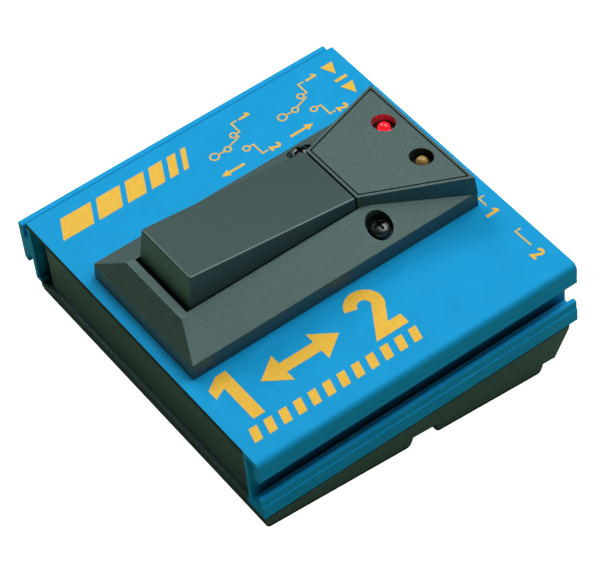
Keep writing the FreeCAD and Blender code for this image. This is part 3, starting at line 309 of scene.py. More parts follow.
def anodised_aluminium():
    """Blasted, dyed and sealed: a matt blue with painted shade in its slots and grooves, and dark
    at the front end of the plate.
    """
    material, tree, shader = finish("anodised_aluminium", 0.7, 0.15, Specular_IOR_Level=0.2)
    colour, _ = mottle(tree, 6.0, linear("#05A0DC"), linear("#08A4E1"))
    # Painted shade: the blue is darkened in the slots and grooves, where little light gets in.
    tone, reach, span = DECK_PAINTED_SHADE
    painted_shade_colour = painted_hollow_shade(tree, colour, linear(tone), reach, span)
    where = add(tree, "ShaderNodeTexCoord")
    across, along, level = [axis.normalized() for axis in DECK.to_3x3().transposed()]
    origin = DECK.translation
    ahead = along_axis(tree, where, along, origin)
    aside = along_axis(tree, where, across, origin)
    up = along_axis(tree, where, level, origin)
    end = 1.0
    for distance, operation, limit in (
        (ahead, "LESS_THAN", PLATE_END_FRONT),
        (aside, "GREATER_THAN", PLATE_END_LEFT),
        (aside, "LESS_THAN", PLATE_END_RIGHT),
        (up, "GREATER_THAN", PLATE_END_LOW),
    ):
        test = add(tree, "ShaderNodeMath", {"operation": operation}, {0: distance, 1: limit * MM})
        both = add(tree, "ShaderNodeMath", {"operation": "MULTIPLY"}, {0: test.outputs[0], 1: end})
        end = both.outputs[0]
    whole = add(
        tree,
        "ShaderNodeMix",
        {"data_type": "RGBA"},
        {0: end, 6: painted_shade_colour, 7: linear(PLATE_END_TONE)},
    )
    tree.links.new(whole.outputs[2], shader.inputs["Base Color"])
    blast = add(
        tree,
        "ShaderNodeTexNoise",
        inputs={"Vector": where.outputs["Object"], "Scale": 1 / (BLAST_SIZE * MM), "Detail": 3.0},
    )
    relief(tree, shader, blast.outputs["Fac"], BLAST_DEPTH)
    return material


def moulded(name, low, high, roughness, grain, depth, patch=0.5, shade_reach=0.0, **sockets):
    """Injection moulded plastic with a spark-eroded grain, and painted shade in its grooves when a
    reach is given.
    """
    material, tree, shader = finish(name, roughness, **sockets)
    colour, _ = mottle(tree, patch, linear(low), linear(high))
    # Painted shade: the colour is darkened in grooves and gaps, where little light gets in.
    if shade_reach:
        colour = painted_hollow_shade(tree, colour, linear(PLASTIC_PAINTED_SHADE_TONE), shade_reach, PLASTIC_PAINTED_SHADE_SPAN)
    tree.links.new(colour, shader.inputs["Base Color"])
    relief(tree, shader, grains(tree, grain), depth)
    return material


def plated(name, colour, roughness):
    """Electroplated metal, bright, with faint rolling marks."""
    material, tree, shader = finish(name, roughness, 1.0)
    tone, fac = mottle(tree, 1.5, linear(colour), linear(colour), stretch=(1, 1, 8))
    tree.links.new(tone, shader.inputs["Base Color"])
    relief(tree, shader, fac, 0.002)
    return material


ANODISED = anodised_aluminium()
SHEEN = {"IOR": 1.6, "Specular_IOR_Level": 1.0, "Specular_Tint": linear("#CFFFFD")}
# The last number of each of these three is the reach of its painted shade in grooves.
BEZEL_ABS = moulded("bezel_abs", "#26312F", "#424E4B", 0.55, 0.3, 0.04, 0.35, 6.0, **SHEEN)
TREADLE_ABS = moulded("treadle_abs", "#222E2C", "#25312F", 0.4, 0.3, 0.003, 4.0, 9.0, **SHEEN)
BASE_ABS = moulded("base_abs", "#0C1818", "#2A3A3C", 0.5, 0.6, 0.1, 0.6, 9.0, **SHEEN)
RUBBER = moulded("sole_rubber", "#161A19", "#1E2221", 0.75, 0.8, 0.05)
BLACK_NYLON = moulded("black_nylon", "#101313", "#151918", 0.4, 0.4, 0.01)
WHITE_ACETAL = moulded("white_acetal", "#E2E2DC", "#E8E8E4", 0.3, 0.6, 0.002)
LAMINATE = moulded("circuit_laminate", "#1E5A34", "#226A3C", 0.35, 1.2, 0.004)
RIBBON_PVC = moulded("ribbon_pvc", "#8C8E90", "#A2A4A6", 0.5, 0.6, 0.004)
NICKEL = plated("nickel_plate", "#C8C4BC", 0.25)
ZINC = plated("zinc_plate", "#BFC0BE", 0.3)
BLACK_ZINC = plated("black_zinc", "#5C605E", 0.36)
CELL_SLEEVE = moulded("cell_sleeve", "#4A4B4E", "#55565A", 0.35, 1.0, 0.002)
INK = moulded("screen_ink", "#F4BE38", "#F9C740", 0.5, 0.3, 0.004, 1.0, Specular_IOR_Level=0.3)

# %% [markdown]
# A lamp is clear tinted epoxy cast over a metal frame. The lit one glows by itself, and its
# glow colours the black wall of its hole, so its shader gives off light. It lights what is
# round it more strongly than it shows itself, or its lens would burn out to white. The unlit
# one only lets some light through.

# %% Finishes of the lamps
GLOW_AROUND = 11


def epoxy(name, colour, glow_colour, glow, clear):
    """Tinted cast epoxy, this clear, with a glow of its own."""
    material, tree, shader = finish(name, 0.1, Transmission_Weight=clear, IOR=1.55)
    tone, _ = mottle(tree, 1.0, linear(colour), linear(colour))
    tree.links.new(tone, shader.inputs["Base Color"])
    shader.inputs["Emission Color"].default_value = linear(glow_colour)
    path = add(tree, "ShaderNodeLightPath")
    spread = add(
        tree,
        "ShaderNodeMapRange",
        inputs={
            "Value": path.outputs["Is Camera Ray"],
            "To Min": glow * GLOW_AROUND,
            "To Max": glow,
        },
    )
    tree.links.new(spread.outputs["Result"], shader.inputs["Emission Strength"])
    return material


RED_EPOXY = epoxy("red_epoxy", "#E00818", "#FF2634", 0.65, 0.2)
AMBER_EPOXY = epoxy("amber_epoxy", "#C09A50", "#C09A50", 0.0, 0.25)

# %% Dressing the frame's own pieces
DRESS = {
    "deck_extrusion": ANODISED,
    "base_tray": BASE_ABS,
    "front_sole": RUBBER,
    "rear_sole": RUBBER,
    "battery_door": BASE_ABS,
    "treadle_bezel": BEZEL_ABS,
    "indicator_panel": BEZEL_ABS,
    "treadle": TREADLE_ABS,
    "hinge_pin": ZINC,
    "treadle_spring": ZINC,
    "foot_switch": BLACK_NYLON,
    "switch_plunger": WHITE_ACETAL,
    "main_board": LAMINATE,
    "lamp_board": LAMINATE,
    "lamp_ribbon": RIBBON_PVC,
    "red_lamp": RED_EPOXY,
    "amber_lamp": AMBER_EPOXY,
    "lamp_sleeves": BLACK_NYLON,
    "bezel_screws": BLACK_ZINC,
    "board_screws": ZINC,
    "lamp_board_screws": ZINC,
    "jack_washers": NICKEL,
    "jack_nuts": NICKEL,
    "cell_1": CELL_SLEEVE,
    "cell_2": CELL_SLEEVE,
    "battery_contacts": NICKEL,
    "battery_springs": NICKEL,
}
for jack in ("input", "output_1", "output_2"):
    DRESS[jack + "_jack"] = BLACK_NYLON
    DRESS[jack + "_sleeve"] = NICKEL
for name, material in DRESS.items():
    for slot in nodes[name].material_slots:
        slot.material = material

# %% [markdown]
# ## Building pieces
#
# Pieces are drawn in the deck's frame in millimetres. One function turns such a mesh to
# its place, gives it its finish and lets it ride on a body. Another one runs a tree of
# Geometry Nodes on an empty mesh and keeps the result as a plain mesh.

# %% Pieces and trees
def piece(name, mesh, material, body, angle=35):
    """An object from a mesh in the deck's frame, smooth up to an angle between faces."""
    mesh.transform(DECK)
    mesh.materials.clear()
    mesh.materials.append(material)
    mesh.shade_smooth()
    mesh.set_sharp_from_angle(angle=math.radians(angle))
    thing = bpy.data.objects.new(name, mesh)
    bpy.context.scene.collection.objects.link(thing)
    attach(thing, body)
    return thing


def evaluated(base):
    """The plain mesh of an object with its modifiers, which is then removed."""
    bpy.context.view_layer.update()
    view = bpy.context.evaluated_depsgraph_get()
    mesh = bpy.data.meshes.new_from_object(base.evaluated_get(view))
    bpy.data.objects.remove(base)
    return mesh


def loose(name, mesh):
    """A helper object for a mesh, which has to be removed again."""
    thing = bpy.data.objects.new(name, mesh)
    bpy.context.scene.collection.objects.link(thing)
    return thing


def grown(name, tree, values, base=None):
    """The plain mesh that a tree makes, with its inputs set by their identifiers."""
    seed = loose(name + "_seed", base or bpy.data.meshes.new(name))
    modifier = seed.modifiers.new(name, "NODES")
    modifier.node_group = tree
    for item in tree.interface.items_tree:
        if item.in_out == "INPUT" and item.name in values:
            modifier[item.identifier] = values[item.name]
    return evaluated(seed)


def new_tree(name, inputs):
    """An empty tree with named inputs, given as name to socket type and value."""
    tree = bpy.data.node_groups.new(name, "GeometryNodeTree")
    tree.interface.new_socket("Geometry", in_out="INPUT", socket_type="NodeSocketGeometry")
    tree.interface.new_socket("Geometry", in_out="OUTPUT", socket_type="NodeSocketGeometry")
    for label, (kind, value) in inputs.items():
        socket = tree.interface.new_socket(label, in_out="INPUT", socket_type="NodeSocket" + kind)
        if value is not None:
            socket.default_value = value
    return tree, add(tree, "NodeGroupInput").outputs


def close_tree(tree, geometry, material):
    """End a tree in Realize Instances and Set Material."""
    real = add(tree, "GeometryNodeRealizeInstances", inputs={"Geometry": geometry})
    painted = add(
        tree,
        "GeometryNodeSetMaterial",
        inputs={"Geometry": real.outputs[0], "Material": material},
    )
    add(tree, "NodeGroupOutput", inputs={"Geometry": painted.outputs[0]})
    return tree


# %% [markdown]
# ## Ink on the deck
#
# The deck is screen printed in yellow, with plain numerals, arrows and stripes. The switch
# symbols show what the pedal does: one line in, two ways out. Ink is a film that stands a few
# hundredths of a millimetre proud, so each mark is a thin plate.

# %% Drawing flat marks
FILM = 0.04
FILM_FOOT = -0.02
RING_SIDES = 40
TWO_WIDTH = 0.64


def plate(mesh, outline, low=FILM_FOOT, high=FILM):
    """Add a flat plate with an outline of (x, y) points, between two heights."""
    rings = [[mesh.verts.new((x, y, w)) for x, y in outline] for w in (low, high)]
    mesh.faces.new(rings[0][::-1])
    mesh.faces.new(rings[1])
    for i in range(len(outline)):
        j = (i + 1) % len(outline)
        mesh.faces.new((rings[0][i], rings[0][j], rings[1][j], rings[1][i]))


def stroke(points, width):
    """Outline of a line drawn through points with a pen of this width."""
    points = [Vector(point) for point in points]
    left, right = [], []
    for i, here in enumerate(points):
        ways = [
            (b - a).normalized()
            for a, b in zip(points[max(i - 1, 0):i + 1], points[max(i, 1):i + 2])
        ]
        if i == 0 or i == len(points) - 1:
            ways = [ways[0 if i == 0 else -1]] * 2
        normals = [Vector((-way.y, way.x)) for way in ways]
        across = (normals[0] + normals[1]).normalized()
        reach = width / 2 / across.dot(normals[0])
        left.append(here + across * reach)
        right.append(here - across * reach)
    return right + left[::-1]


def arc(centre, radius, start, end, steps=16):
    """Points along an arc between two angles in degrees."""
    angles = [math.radians(start + (end - start) * i / steps) for i in range(steps + 1)]
    return [(centre[0] + radius * math.cos(a), centre[1] + radius * math.sin(a)) for a in angles]


def ring(mesh, centre, radius, width):
    """Add a drawn circle with a line of this width."""
    count = RING_SIDES
    circles = []
    for r, w in (
        (radius - width / 2, FILM_FOOT),
        (radius + width / 2, FILM_FOOT),
        (radius + width / 2, FILM),
        (radius - width / 2, FILM),
    ):
        circles.append([mesh.verts.new((x, y, w)) for x, y in arc(centre, r, 0, 360, count)[:-1]])
    for a, b in zip(circles, circles[1:] + circles[:1]):
        for i in range(count):
            j = (i + 1) % count
            mesh.faces.new((a[i], a[j], b[j], b[i]))


def arrow(tail, tip, shaft, head, length):
    """Outline of an arrow with a shaft width, a head width and a head length."""
    tail, tip = Vector(tail), Vector(tip)
    way = (tip - tail).normalized()
    side = Vector((-way.y, way.x))
    neck = tip - way * length
    return [
        tail - side * shaft / 2,
        neck - side * shaft / 2,
        neck - side * head / 2,
        tip,
        neck + side * head / 2,
        neck + side * shaft / 2,
        tail + side * shaft / 2,
    ]


def one(size, weight):
    """Outline of the numeral 1, this tall and with strokes this heavy."""
    return [[
        (weight, 0),
        (2 * weight, 0),
        (2 * weight, size),
        (1.1 * weight, size),
        (0, size - 0.75 * weight),
        (0, size - 1.75 * weight),
        (weight, size - 1.25 * weight),
    ]]


def two(size, weight):
    """Outline of the numeral 2: a bow, a slanting tail and a foot in one stroke."""
    wide = TWO_WIDTH * size
    bow = (wide - weight) / 2
    centre = (wide / 2, size - wide / 2)
    path = arc(centre, bow, 170, -40) + [(1.07 * weight, weight / 2), (wide, weight / 2)]
    return [stroke(path, weight)]


def lettered(mesh, outlines, corner, along, up):
    """Add outlines whose first axis runs along one direction of the deck, and second up."""
    along, up, corner = Vector(along), Vector(up), Vector(corner)
    turned = along.x * up.y - along.y * up.x < 0
    for outline in outlines:
        points = [corner + along * u + up * v for u, v in outline]
        plate(mesh, points[::-1] if turned else points)


# %% [markdown]
# The switch symbol is drawn twice, once for each direction of use. Its sizes are those of
# the print, in the deck's frame, and the second one is the first one moved back.

# %% Switch symbols
PEN = 0.42
CONTACT_RING = 0.85
SYMBOL_STEP = 20.95
COMMON = Vector((-34.4, 5.5))
LEFT_CONTACT = Vector((-37.4, 9.35))
RIGHT_CONTACT = Vector((-31.55, 9.25))
LEFT_LEAD = (-41.08, 11.3)
RIGHT_LEAD = (-27.6, 11.4)
SMALL_NUMERAL = 3.2
SMALL_WEIGHT = 0.72
SOCKET_LINE = 1.8
SOCKET_RING = 1.15
BLADE_START = Vector((-0.5, 0.95))
BLADE_END = Vector((1.15, 1.05))
LEAD_END = 1.7
NUMERAL_RISE = 2.3
NUMERAL_X = (-42.0, -28.6)


def switch_symbol(mesh, step):
    """One line in, two ways out, with a small socket at the common end."""
    move = Vector((0, step))
    common, left, right = COMMON + move, LEFT_CONTACT + move, RIGHT_CONTACT + move
    for centre in (common, left, right):
        ring(mesh, centre, CONTACT_RING, PEN)
    rim = CONTACT_RING + PEN / 2
    low = common + Vector((0, -rim))
    plate(mesh, stroke([low + Vector((0, -SOCKET_LINE)), low], PEN))
    ring(mesh, low + Vector((0, -SOCKET_LINE - SOCKET_RING)), SOCKET_RING, PEN)
    plate(mesh, stroke([common + BLADE_START, left + BLADE_END], PEN))
    for contact, lead in ((left, LEFT_LEAD), (right, RIGHT_LEAD)):
        level = lead[1] + step
        bends = [(contact.x, level), (lead[0], level), (lead[0], level + LEAD_END)]
        plate(mesh, stroke([contact + Vector((0, rim))] + bends, PEN))
    top = LEFT_LEAD[1] + step + NUMERAL_RISE
    lettered(mesh, one(SMALL_NUMERAL, SMALL_WEIGHT), (NUMERAL_X[0], top), (1, 0), (0, 1))
    lettered(mesh, two(SMALL_NUMERAL, SMALL_WEIGHT), (NUMERAL_X[1], top), (1, 0), (0, 1))


ink = bmesh.new()
ARROW_X = -27.65
ARROW_SHAFT = 0.75
ARROW_HEAD = 2.3
ARROW_POINT = 2.2
for step, tail, tip in ((0.0, 5.9, -1.0), (SYMBOL_STEP, 20.0, 27.1)):
    switch_symbol(ink, step)
    plate(ink, arrow((ARROW_X, tail), (ARROW_X, tip), ARROW_SHAFT, ARROW_HEAD, ARROW_POINT))

# %% [markdown]
# The large marks read from the foot end to the back, with their tops to the left. Two
# numerals with a two-way arrow stand for the pedal's two ways.

# %% Large marks
ALONG = (0, 1)
TOPS = (-1, 0)
LARGE_START = -42.9
LARGE_END = 5.6
LARGE_FOOT = 39.2
LARGE_SIZE = 15.8
LARGE_WEIGHT = 3.3
LARGE_GAP = 4.5
LARGE_ARROW_HEAD = 9.4
LARGE_ARROW_POINT = 6.4


def double_arrow(length, shaft, head, point):
    """Outline of an arrow with a head at both ends, from (0, 0) along the first axis."""
    return [
        (0, 0),
        (point, -head / 2),
        (point, -shaft / 2),
        (length - point, -shaft / 2),
        (length - point, -head / 2),
        (length, 0),
        (length - point, head / 2),
        (length - point, shaft / 2),
        (point, shaft / 2),
        (point, head / 2),
    ]


two_width = TWO_WIDTH * LARGE_SIZE
arrow_start = LARGE_START + 2 * LARGE_WEIGHT + LARGE_GAP
arrow_length = LARGE_END - two_width - LARGE_GAP - arrow_start
lettered(ink, one(LARGE_SIZE, LARGE_WEIGHT), (LARGE_FOOT, LARGE_START), ALONG, TOPS)
lettered(ink, two(LARGE_SIZE, LARGE_WEIGHT), (LARGE_FOOT, LARGE_END - two_width), ALONG, TOPS)
lettered(
    ink,
    [double_arrow(arrow_length, LARGE_WEIGHT, LARGE_ARROW_HEAD, LARGE_ARROW_POINT)],
    (LARGE_FOOT - LARGE_SIZE / 2, arrow_start),
    ALONG,
    TOPS,
)

# %% Stripes by the treadle and marks by the jacks
STRIPE_WIDTHS = (9.0, 7.0, 5.5, 4.0, 2.5, 1.5)
STRIPE_GAP = 1.6
STRIPE_SLANT = 3.3
STRIPE_FOOT = -35.5
STRIPE_HEIGHT = 6.6
STRIPE_START = -43.0
start = STRIPE_START
for width in STRIPE_WIDTHS:
    slanted = [
        (0, 0),
        (width, 0),
        (width + STRIPE_SLANT, STRIPE_HEIGHT),
        (STRIPE_SLANT, STRIPE_HEIGHT),
    ]
    lettered(ink, [slanted], (STRIPE_FOOT, start), ALONG, TOPS)
    start += width + STRIPE_GAP

JACK_MARK = (-42.2, 40.1)
JACK_MARK_HEIGHT = 3.7
TRIANGLE = 4.2
TRIANGLE_STEP = 8.8
BAR = (5.9, 6.9)
triangle = [(0, 0), (TRIANGLE, JACK_MARK_HEIGHT / 2), (0, JACK_MARK_HEIGHT)]
for shift in (0.0, TRIANGLE_STEP):
    lettered(ink, [[(x + shift, y) for x, y in triangle]], JACK_MARK, (1, 0), (0, 1))
bar = [(BAR[0], 0), (BAR[1], 0), (BAR[1], JACK_MARK_HEIGHT), (BAR[0], JACK_MARK_HEIGHT)]
lettered(ink, [bar], JACK_MARK, (1, 0), (0, 1))

OUTPUT_NUMERAL = 3.8
OUTPUT_WEIGHT = 0.8
for path, corner, numeral in (
    ([(19.2, 44.2), (19.2, 42.6), (22.2, 42.6)], (23.9, 40.3), one),
    ([(33.3, 44.2), (33.3, 42.6), (39.1, 42.7)], (40.9, 40.3), two),
):
    plate(ink, stroke(path[::-1], PEN))
    lettered(ink, numeral(OUTPUT_NUMERAL, OUTPUT_WEIGHT), corner, (1, 0), (0, 1))

ink_mesh = bpy.data.meshes.new("deck_ink")
ink.to_mesh(ink_mesh)
ink.free()
piece("deck_ink", ink_mesh, INK, "case")
print("ink faces", len(ink_mesh.polygons))

# %% [markdown]
# A row of slanted dashes runs under the large marks. They repeat, so a tree makes them: a
# line of points, a dash on each, and the inputs say how many and how far apart.

# %% Row of dashes
def dash_tree():
    """Slanted dashes on a line of points."""
    tree, given = new_tree(
        "dash_row",
        {
            "Count": ("Int", 12),
            "Pitch": ("Float", 4.0),
            "Width": ("Float", 2.2),
            "Height": ("Float", 4.2),
            "Slant": ("Float", 1.1),
        },
    )
    step = add(tree, "ShaderNodeCombineXYZ", inputs={"Y": given["Pitch"]})
    line = add(
        tree,
        "GeometryNodeMeshLine",
        inputs={"Count": given["Count"], "Offset": step.outputs[0]},
    )
    box = add(
        tree,
        "ShaderNodeCombineXYZ",
        inputs={"X": given["Height"], "Y": given["Width"], "Z": FILM},
    )
    dash = add(tree, "GeometryNodeMeshCube", inputs={"Size": box.outputs[0]})
    where = add(tree, "GeometryNodeInputPosition")
    parts = add(tree, "ShaderNodeSeparateXYZ", inputs={"Vector": where.outputs[0]})
    share = add(
        tree, "ShaderNodeMath", {"operation": "DIVIDE"}, {0: parts.outputs["X"], 1: given["Height"]}
    )
    lean = add(
        tree, "ShaderNodeMath", {"operation": "MULTIPLY"}, {0: share.outputs[0], 1: given["Slant"]}
    )
    back = add(tree, "ShaderNodeMath", {"operation": "MULTIPLY"}, {0: lean.outputs[0], 1: -1.0})
    shear = add(tree, "ShaderNodeCombineXYZ", inputs={"Y": back.outputs[0], "Z": FILM / 2})
    slanted = add(
        tree,
        "GeometryNodeSetPosition",
        inputs={"Geometry": dash.outputs["Mesh"], "Offset": shear.outputs[0]},
    )
    row = add(
        tree,
        "GeometryNodeInstanceOnPoints",
        inputs={"Points": line.outputs["Mesh"], "Instance": slanted.outputs["Geometry"]},
    )
    return close_tree(tree, row.outputs["Instances"], INK)


DASH_COUNT = 12
DASH_WIDTH = 2.3
DASH_MIDDLE = 43.1
dash_pitch = (LARGE_END - LARGE_START - DASH_WIDTH) / (DASH_COUNT - 1)
dashes = grown(
    "dash_row", dash_tree(), {"Count": DASH_COUNT, "Pitch": dash_pitch, "Width": DASH_WIDTH}
)
dashes.transform(Matrix.Translation((DASH_MIDDLE, LARGE_START + DASH_WIDTH / 2, 0)))
piece("dash_row", dashes, INK, "case")
print("dashes", DASH_COUNT, "pitch", round(dash_pitch, 2), "mm")

# %% [markdown]
# ## Turned and threaded pieces
#
# Screws, lamps, nuts and sleeves are turned pieces. They are drawn as a profile of radius
# and height, and a thread is a wall whose radius follows the turn and the height together.

# %% Turning a profile
THREAD_ROWS = 8


def turned(mesh, profile, centre=(0, 0), around=48, closed=False):
    """Add a solid turned about W, from (radius, height) points that run counter-clockwise."""
    rings = []
    for radius, level in profile:
        if radius == 0:
            rings.append([mesh.verts.new((*centre, level))])
        else:
            places = arc(centre, radius, 0, 360, around)[:-1]
            rings.append([mesh.verts.new((x, y, level)) for x, y in places])
    for a, b in zip(rings, rings[1:] + (rings[:1] if closed else [])):
        for i in range(around):
            j = (i + 1) % around
            corners = [a[i % len(a)], a[j % len(a)], b[j % len(b)], b[i % len(b)]]
            mesh.faces.new(list(dict.fromkeys(corners)))


def threaded(mesh, radius, depth, pitch, low, high, bore=0.0, around=40):
    """Add a screw thread between two heights; it runs out at both ends."""
    rows = round(THREAD_ROWS * (high - low) / pitch)
    rings = []
    for i in range(rows + 1):
        level = low + (high - low) * i / rows
        full = min(1, (level - low) / pitch, (high - level) / pitch)
        ring = []
        for j in range(around):
            flank = abs(2 * ((level / pitch - j / around) % 1) - 1)
            r = radius - depth * (1 - full) - depth * full * flank
            angle = 2 * math.pi * j / around
            ring.append(mesh.verts.new((r * math.cos(angle), r * math.sin(angle), level)))
        rings.append(ring)
    if bore:
        for level in (high, low):
            places = arc((0, 0), bore, 0, 360, around)[:-1]
            rings.append([mesh.verts.new((x, y, level)) for x, y in places])
        rings.append(rings[0])
    else:
        mesh.faces.new(rings[0][::-1])
        mesh.faces.new(rings[-1])
    for a, b in zip(rings, rings[1:]):
        for i in range(around):
            j = (i + 1) % around
            mesh.faces.new((a[i], a[j], b[j], b[i]))


def kept(name, mesh):
    """The plain mesh of a bmesh, which is freed."""
    plain = bpy.data.meshes.new(name)
    mesh.to_mesh(plain)
    mesh.free()
    return plain


def carved(name, mesh, tool, operation="DIFFERENCE"):
    """The mesh less a tool, or what both share."""
    base, cutter = loose(name, mesh), loose(name + "_tool", tool)
    modifier = base.modifiers.new("carve", "BOOLEAN")
    modifier.object = cutter
    modifier.operation = operation
    result = evaluated(base)
    bpy.data.objects.remove(cutter)
    return result


# %% [markdown]
# One tree copies a piece to every point of its base mesh. The same tree serves screws,
# nuts and the parts on the boards.

# %% Copies on points
def copy_tree(material):
    """A copy of an object on every point of the base mesh."""
    tree, given = new_tree("copies_of_" + material.name, {"Piece": ("Object", None)})
    source = add(
        tree, "GeometryNodeObjectInfo", {"transform_space": "ORIGINAL"}, {"Object": given["Piece"]}
    )
    spread = add(
        tree,
        "GeometryNodeInstanceOnPoints",
        inputs={"Points": given["Geometry"], "Instance": source.outputs["Geometry"]},
    )
    return close_tree(tree, spread.outputs["Instances"], material)


def copies(name, mesh, points, material):
    """The mesh repeated at these points, given in the mesh's own frame."""
    master = loose(name + "_master", mesh)
    base = bpy.data.meshes.new(name + "_points")
    base.from_pydata(points, [], [])
    result = grown(name, copy_tree(material), {"Piece": master}, base)
    bpy.data.objects.remove(master)
    return result


# %% [markdown]
# ## Screws on the bezel
#
# Two black zinc-plated screws with a domed head and a cross recess hold the bezel. They
# stand in their pockets on the same seats as the frame's plain ones.

# %% Bezel screws
SCREW_HEAD = 2.75
SCREW_HEAD_HEIGHT = 2.9
SCREW_SOLID_HEAD = 2.1
SCREW_RIM = 0.9
SCREW_SHANK = 1.5
SCREW_PITCH = 1.3
SCREW_THREAD = 0.28
SCREW_EDGE = 0.1
DOME_STEPS = 10
DOME_FULLNESS = 0.8
RECESS_REACH = 1.9
RECESS_HALF = 0.45
RECESS_DEPTH = 1.4
RECESS_FOOT = 0.45
RECESS_MOUTH = 1.12
RECESS_PAST = 0.2


def cross(reach, half):
    """Outline of a cross, counter-clockwise."""
    quarter = [(reach, -half), (reach, half), (half, half)]
    turns = [(1, 0), (0, 1), (-1, 0), (0, -1)]
    return [(x * c - y * s, x * s + y * c) for c, s in turns for x, y in quarter]


def recess(top):
    """Cutter for a cross recess that narrows downwards."""
    mesh = bmesh.new()
    rings = []
    for scale, level in ((RECESS_FOOT, top - RECESS_DEPTH), (RECESS_MOUTH, top + RECESS_PAST)):
        outline = cross(RECESS_REACH * scale, RECESS_HALF * (0.6 + 0.4 * scale))
        rings.append([mesh.verts.new((x, y, level)) for x, y in outline])
    mesh.faces.new(rings[0][::-1])
    mesh.faces.new(rings[1])
    count = len(rings[0])
    for i in range(count):
        j = (i + 1) % count
        mesh.faces.new((rings[0][i], rings[0][j], rings[1][j], rings[1][i]))
    return kept("recess", mesh)


def screw_mesh(length):
    """One screw standing on its seat at height 0."""
    mesh = bmesh.new()
    dome = SCREW_HEAD_HEIGHT - SCREW_RIM
    profile = [(0, 0), (SCREW_HEAD - SCREW_EDGE, 0), (SCREW_HEAD, SCREW_EDGE)]
    profile += [
        (SCREW_HEAD * math.cos(a), SCREW_RIM + dome * math.sin(a) ** DOME_FULLNESS)
        for a in [math.radians(90 * i / DOME_STEPS) for i in range(DOME_STEPS)]
    ]
    turned(mesh, profile + [(0, SCREW_HEAD_HEIGHT)])
    head = carved("screw_head", kept("screw_head", mesh), recess(SCREW_HEAD_HEIGHT))
    whole = bmesh.new()
    whole.from_mesh(head)
    threaded(whole, SCREW_SHANK, SCREW_THREAD, SCREW_PITCH, -length, -0.01)
    return kept("screw", whole)


screw_places = [middle(box) for box in screw_boxes]
screw_seat = screw_boxes[0][1].z - SCREW_SOLID_HEAD
screw_length = screw_seat - screw_boxes[0][0].z
screws = copies(
    "screws",
    screw_mesh(screw_length),
    [(place.x, place.y, screw_seat) for place in screw_places],
    BLACK_ZINC,
)
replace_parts(piece("bezel_screw_pair", screws, BLACK_ZINC, "case"), "bezel_screws")
print("screws", len(screw_places), "length", round(screw_length, 1), "mm")

# %% [markdown]
# ## Lamps
#
# Each lamp is a 3 mm lens of tinted epoxy with a flange at its foot. Its two legs run up
# into it, and one of them carries the cup in which the light is made.

# %% Lamps
LAMP_RADIUS = 1.6
LAMP_FLANGE = 1.9
LAMP_FLANGE_HEIGHT = 1.0
LEG_SPACING = 1.27
LEG = 0.25
POST_DEPTH = 2.9
CUP_POST_DEPTH = 2.4
CUP = ((0, -0.5), (0.5, -0.5), (0.72, 0), (0.62, 0), (0.4, -0.35), (0, -0.35))


def lens(box):
    """The lens of a lamp whose legs are the lowest thing in its box."""
    centre, top = middle(box), box[1].z
    foot = solids("lamp_board")[0][1].z
    middle_height = top - LAMP_RADIUS
    profile = [
        (0, foot),
        (LAMP_FLANGE, foot),
        (LAMP_FLANGE, foot + LAMP_FLANGE_HEIGHT),
        (LAMP_RADIUS, foot + LAMP_FLANGE_HEIGHT),
    ]
    profile += [(x, middle_height + y) for x, y in arc((0, 0), LAMP_RADIUS, 0, 84, 14)]
    mesh = bmesh.new()
    turned(mesh, profile + [(0, top)], (centre.x, centre.y))
    return kept("lens", mesh)


def lead_frame(boxes):
    """Legs, posts and cups of the lamps."""
    mesh = bmesh.new()
    for box in boxes:
        centre = middle(box)
        foot = box[0].z
        for side, depth in ((-1, POST_DEPTH), (1, CUP_POST_DEPTH)):
            x = centre.x + side * LEG_SPACING / 2
            top = box[1].z - depth
            turned(mesh, [(0, foot), (LEG, foot), (LEG, top), (0, top)], (x, centre.y), 12)
        level = box[1].z - CUP_POST_DEPTH
        turned(mesh, [(r, level + w) for r, w in CUP], (centre.x + LEG_SPACING / 4, centre.y), 20)
    return kept("lead_frame", mesh)


lamp_boxes = [solids(name)[0] for name in ("red_lamp", "amber_lamp")]
for name, box, material in (
    ("red", lamp_boxes[0], RED_EPOXY),
    ("amber", lamp_boxes[1], AMBER_EPOXY),
):
    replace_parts(piece(name + "_lens", lens(box), material, "case"), name + "_lamp")
piece("lamp_leads", lead_frame(lamp_boxes), ZINC, "case")
print("lamps at", [tuple(round(v, 1) for v in middle(box)) for box in lamp_boxes])

# %% [markdown]
# ## Jacks
#
# The three jack sleeves are cut with an M9 x 0.75 thread, and each holds a hexagonal nut
# with turned corners.

# %% Jack sleeves and nuts
SLEEVE_RADIUS = 4.5
SLEEVE_BORE = 3.25
SLEEVE_PITCH = 0.75
SLEEVE_DEPTH = 0.3
NUT_FLATS = 12.7
NUT_CORNER_DROP = 0.5
NUT_FACE_INSET = 0.3
TURNING_PAST = 0.1
JACK_ANGLE = 25
OUTWARD = Matrix.Rotation(math.radians(-90), 4, "X")


def sleeve_mesh(box):
    """A threaded sleeve with a plain bore, as long as its box."""
    mesh = bmesh.new()
    threaded(
        mesh,
        SLEEVE_RADIUS,
        SLEEVE_DEPTH,
        SLEEVE_PITCH,
        box[0].y,
        box[1].y,
        SLEEVE_BORE,
        48,
    )
    plain = kept("sleeve", mesh)
    plain.transform(Matrix.Translation((middle(box).x, 0, middle(box).z)) @ OUTWARD)
    return plain


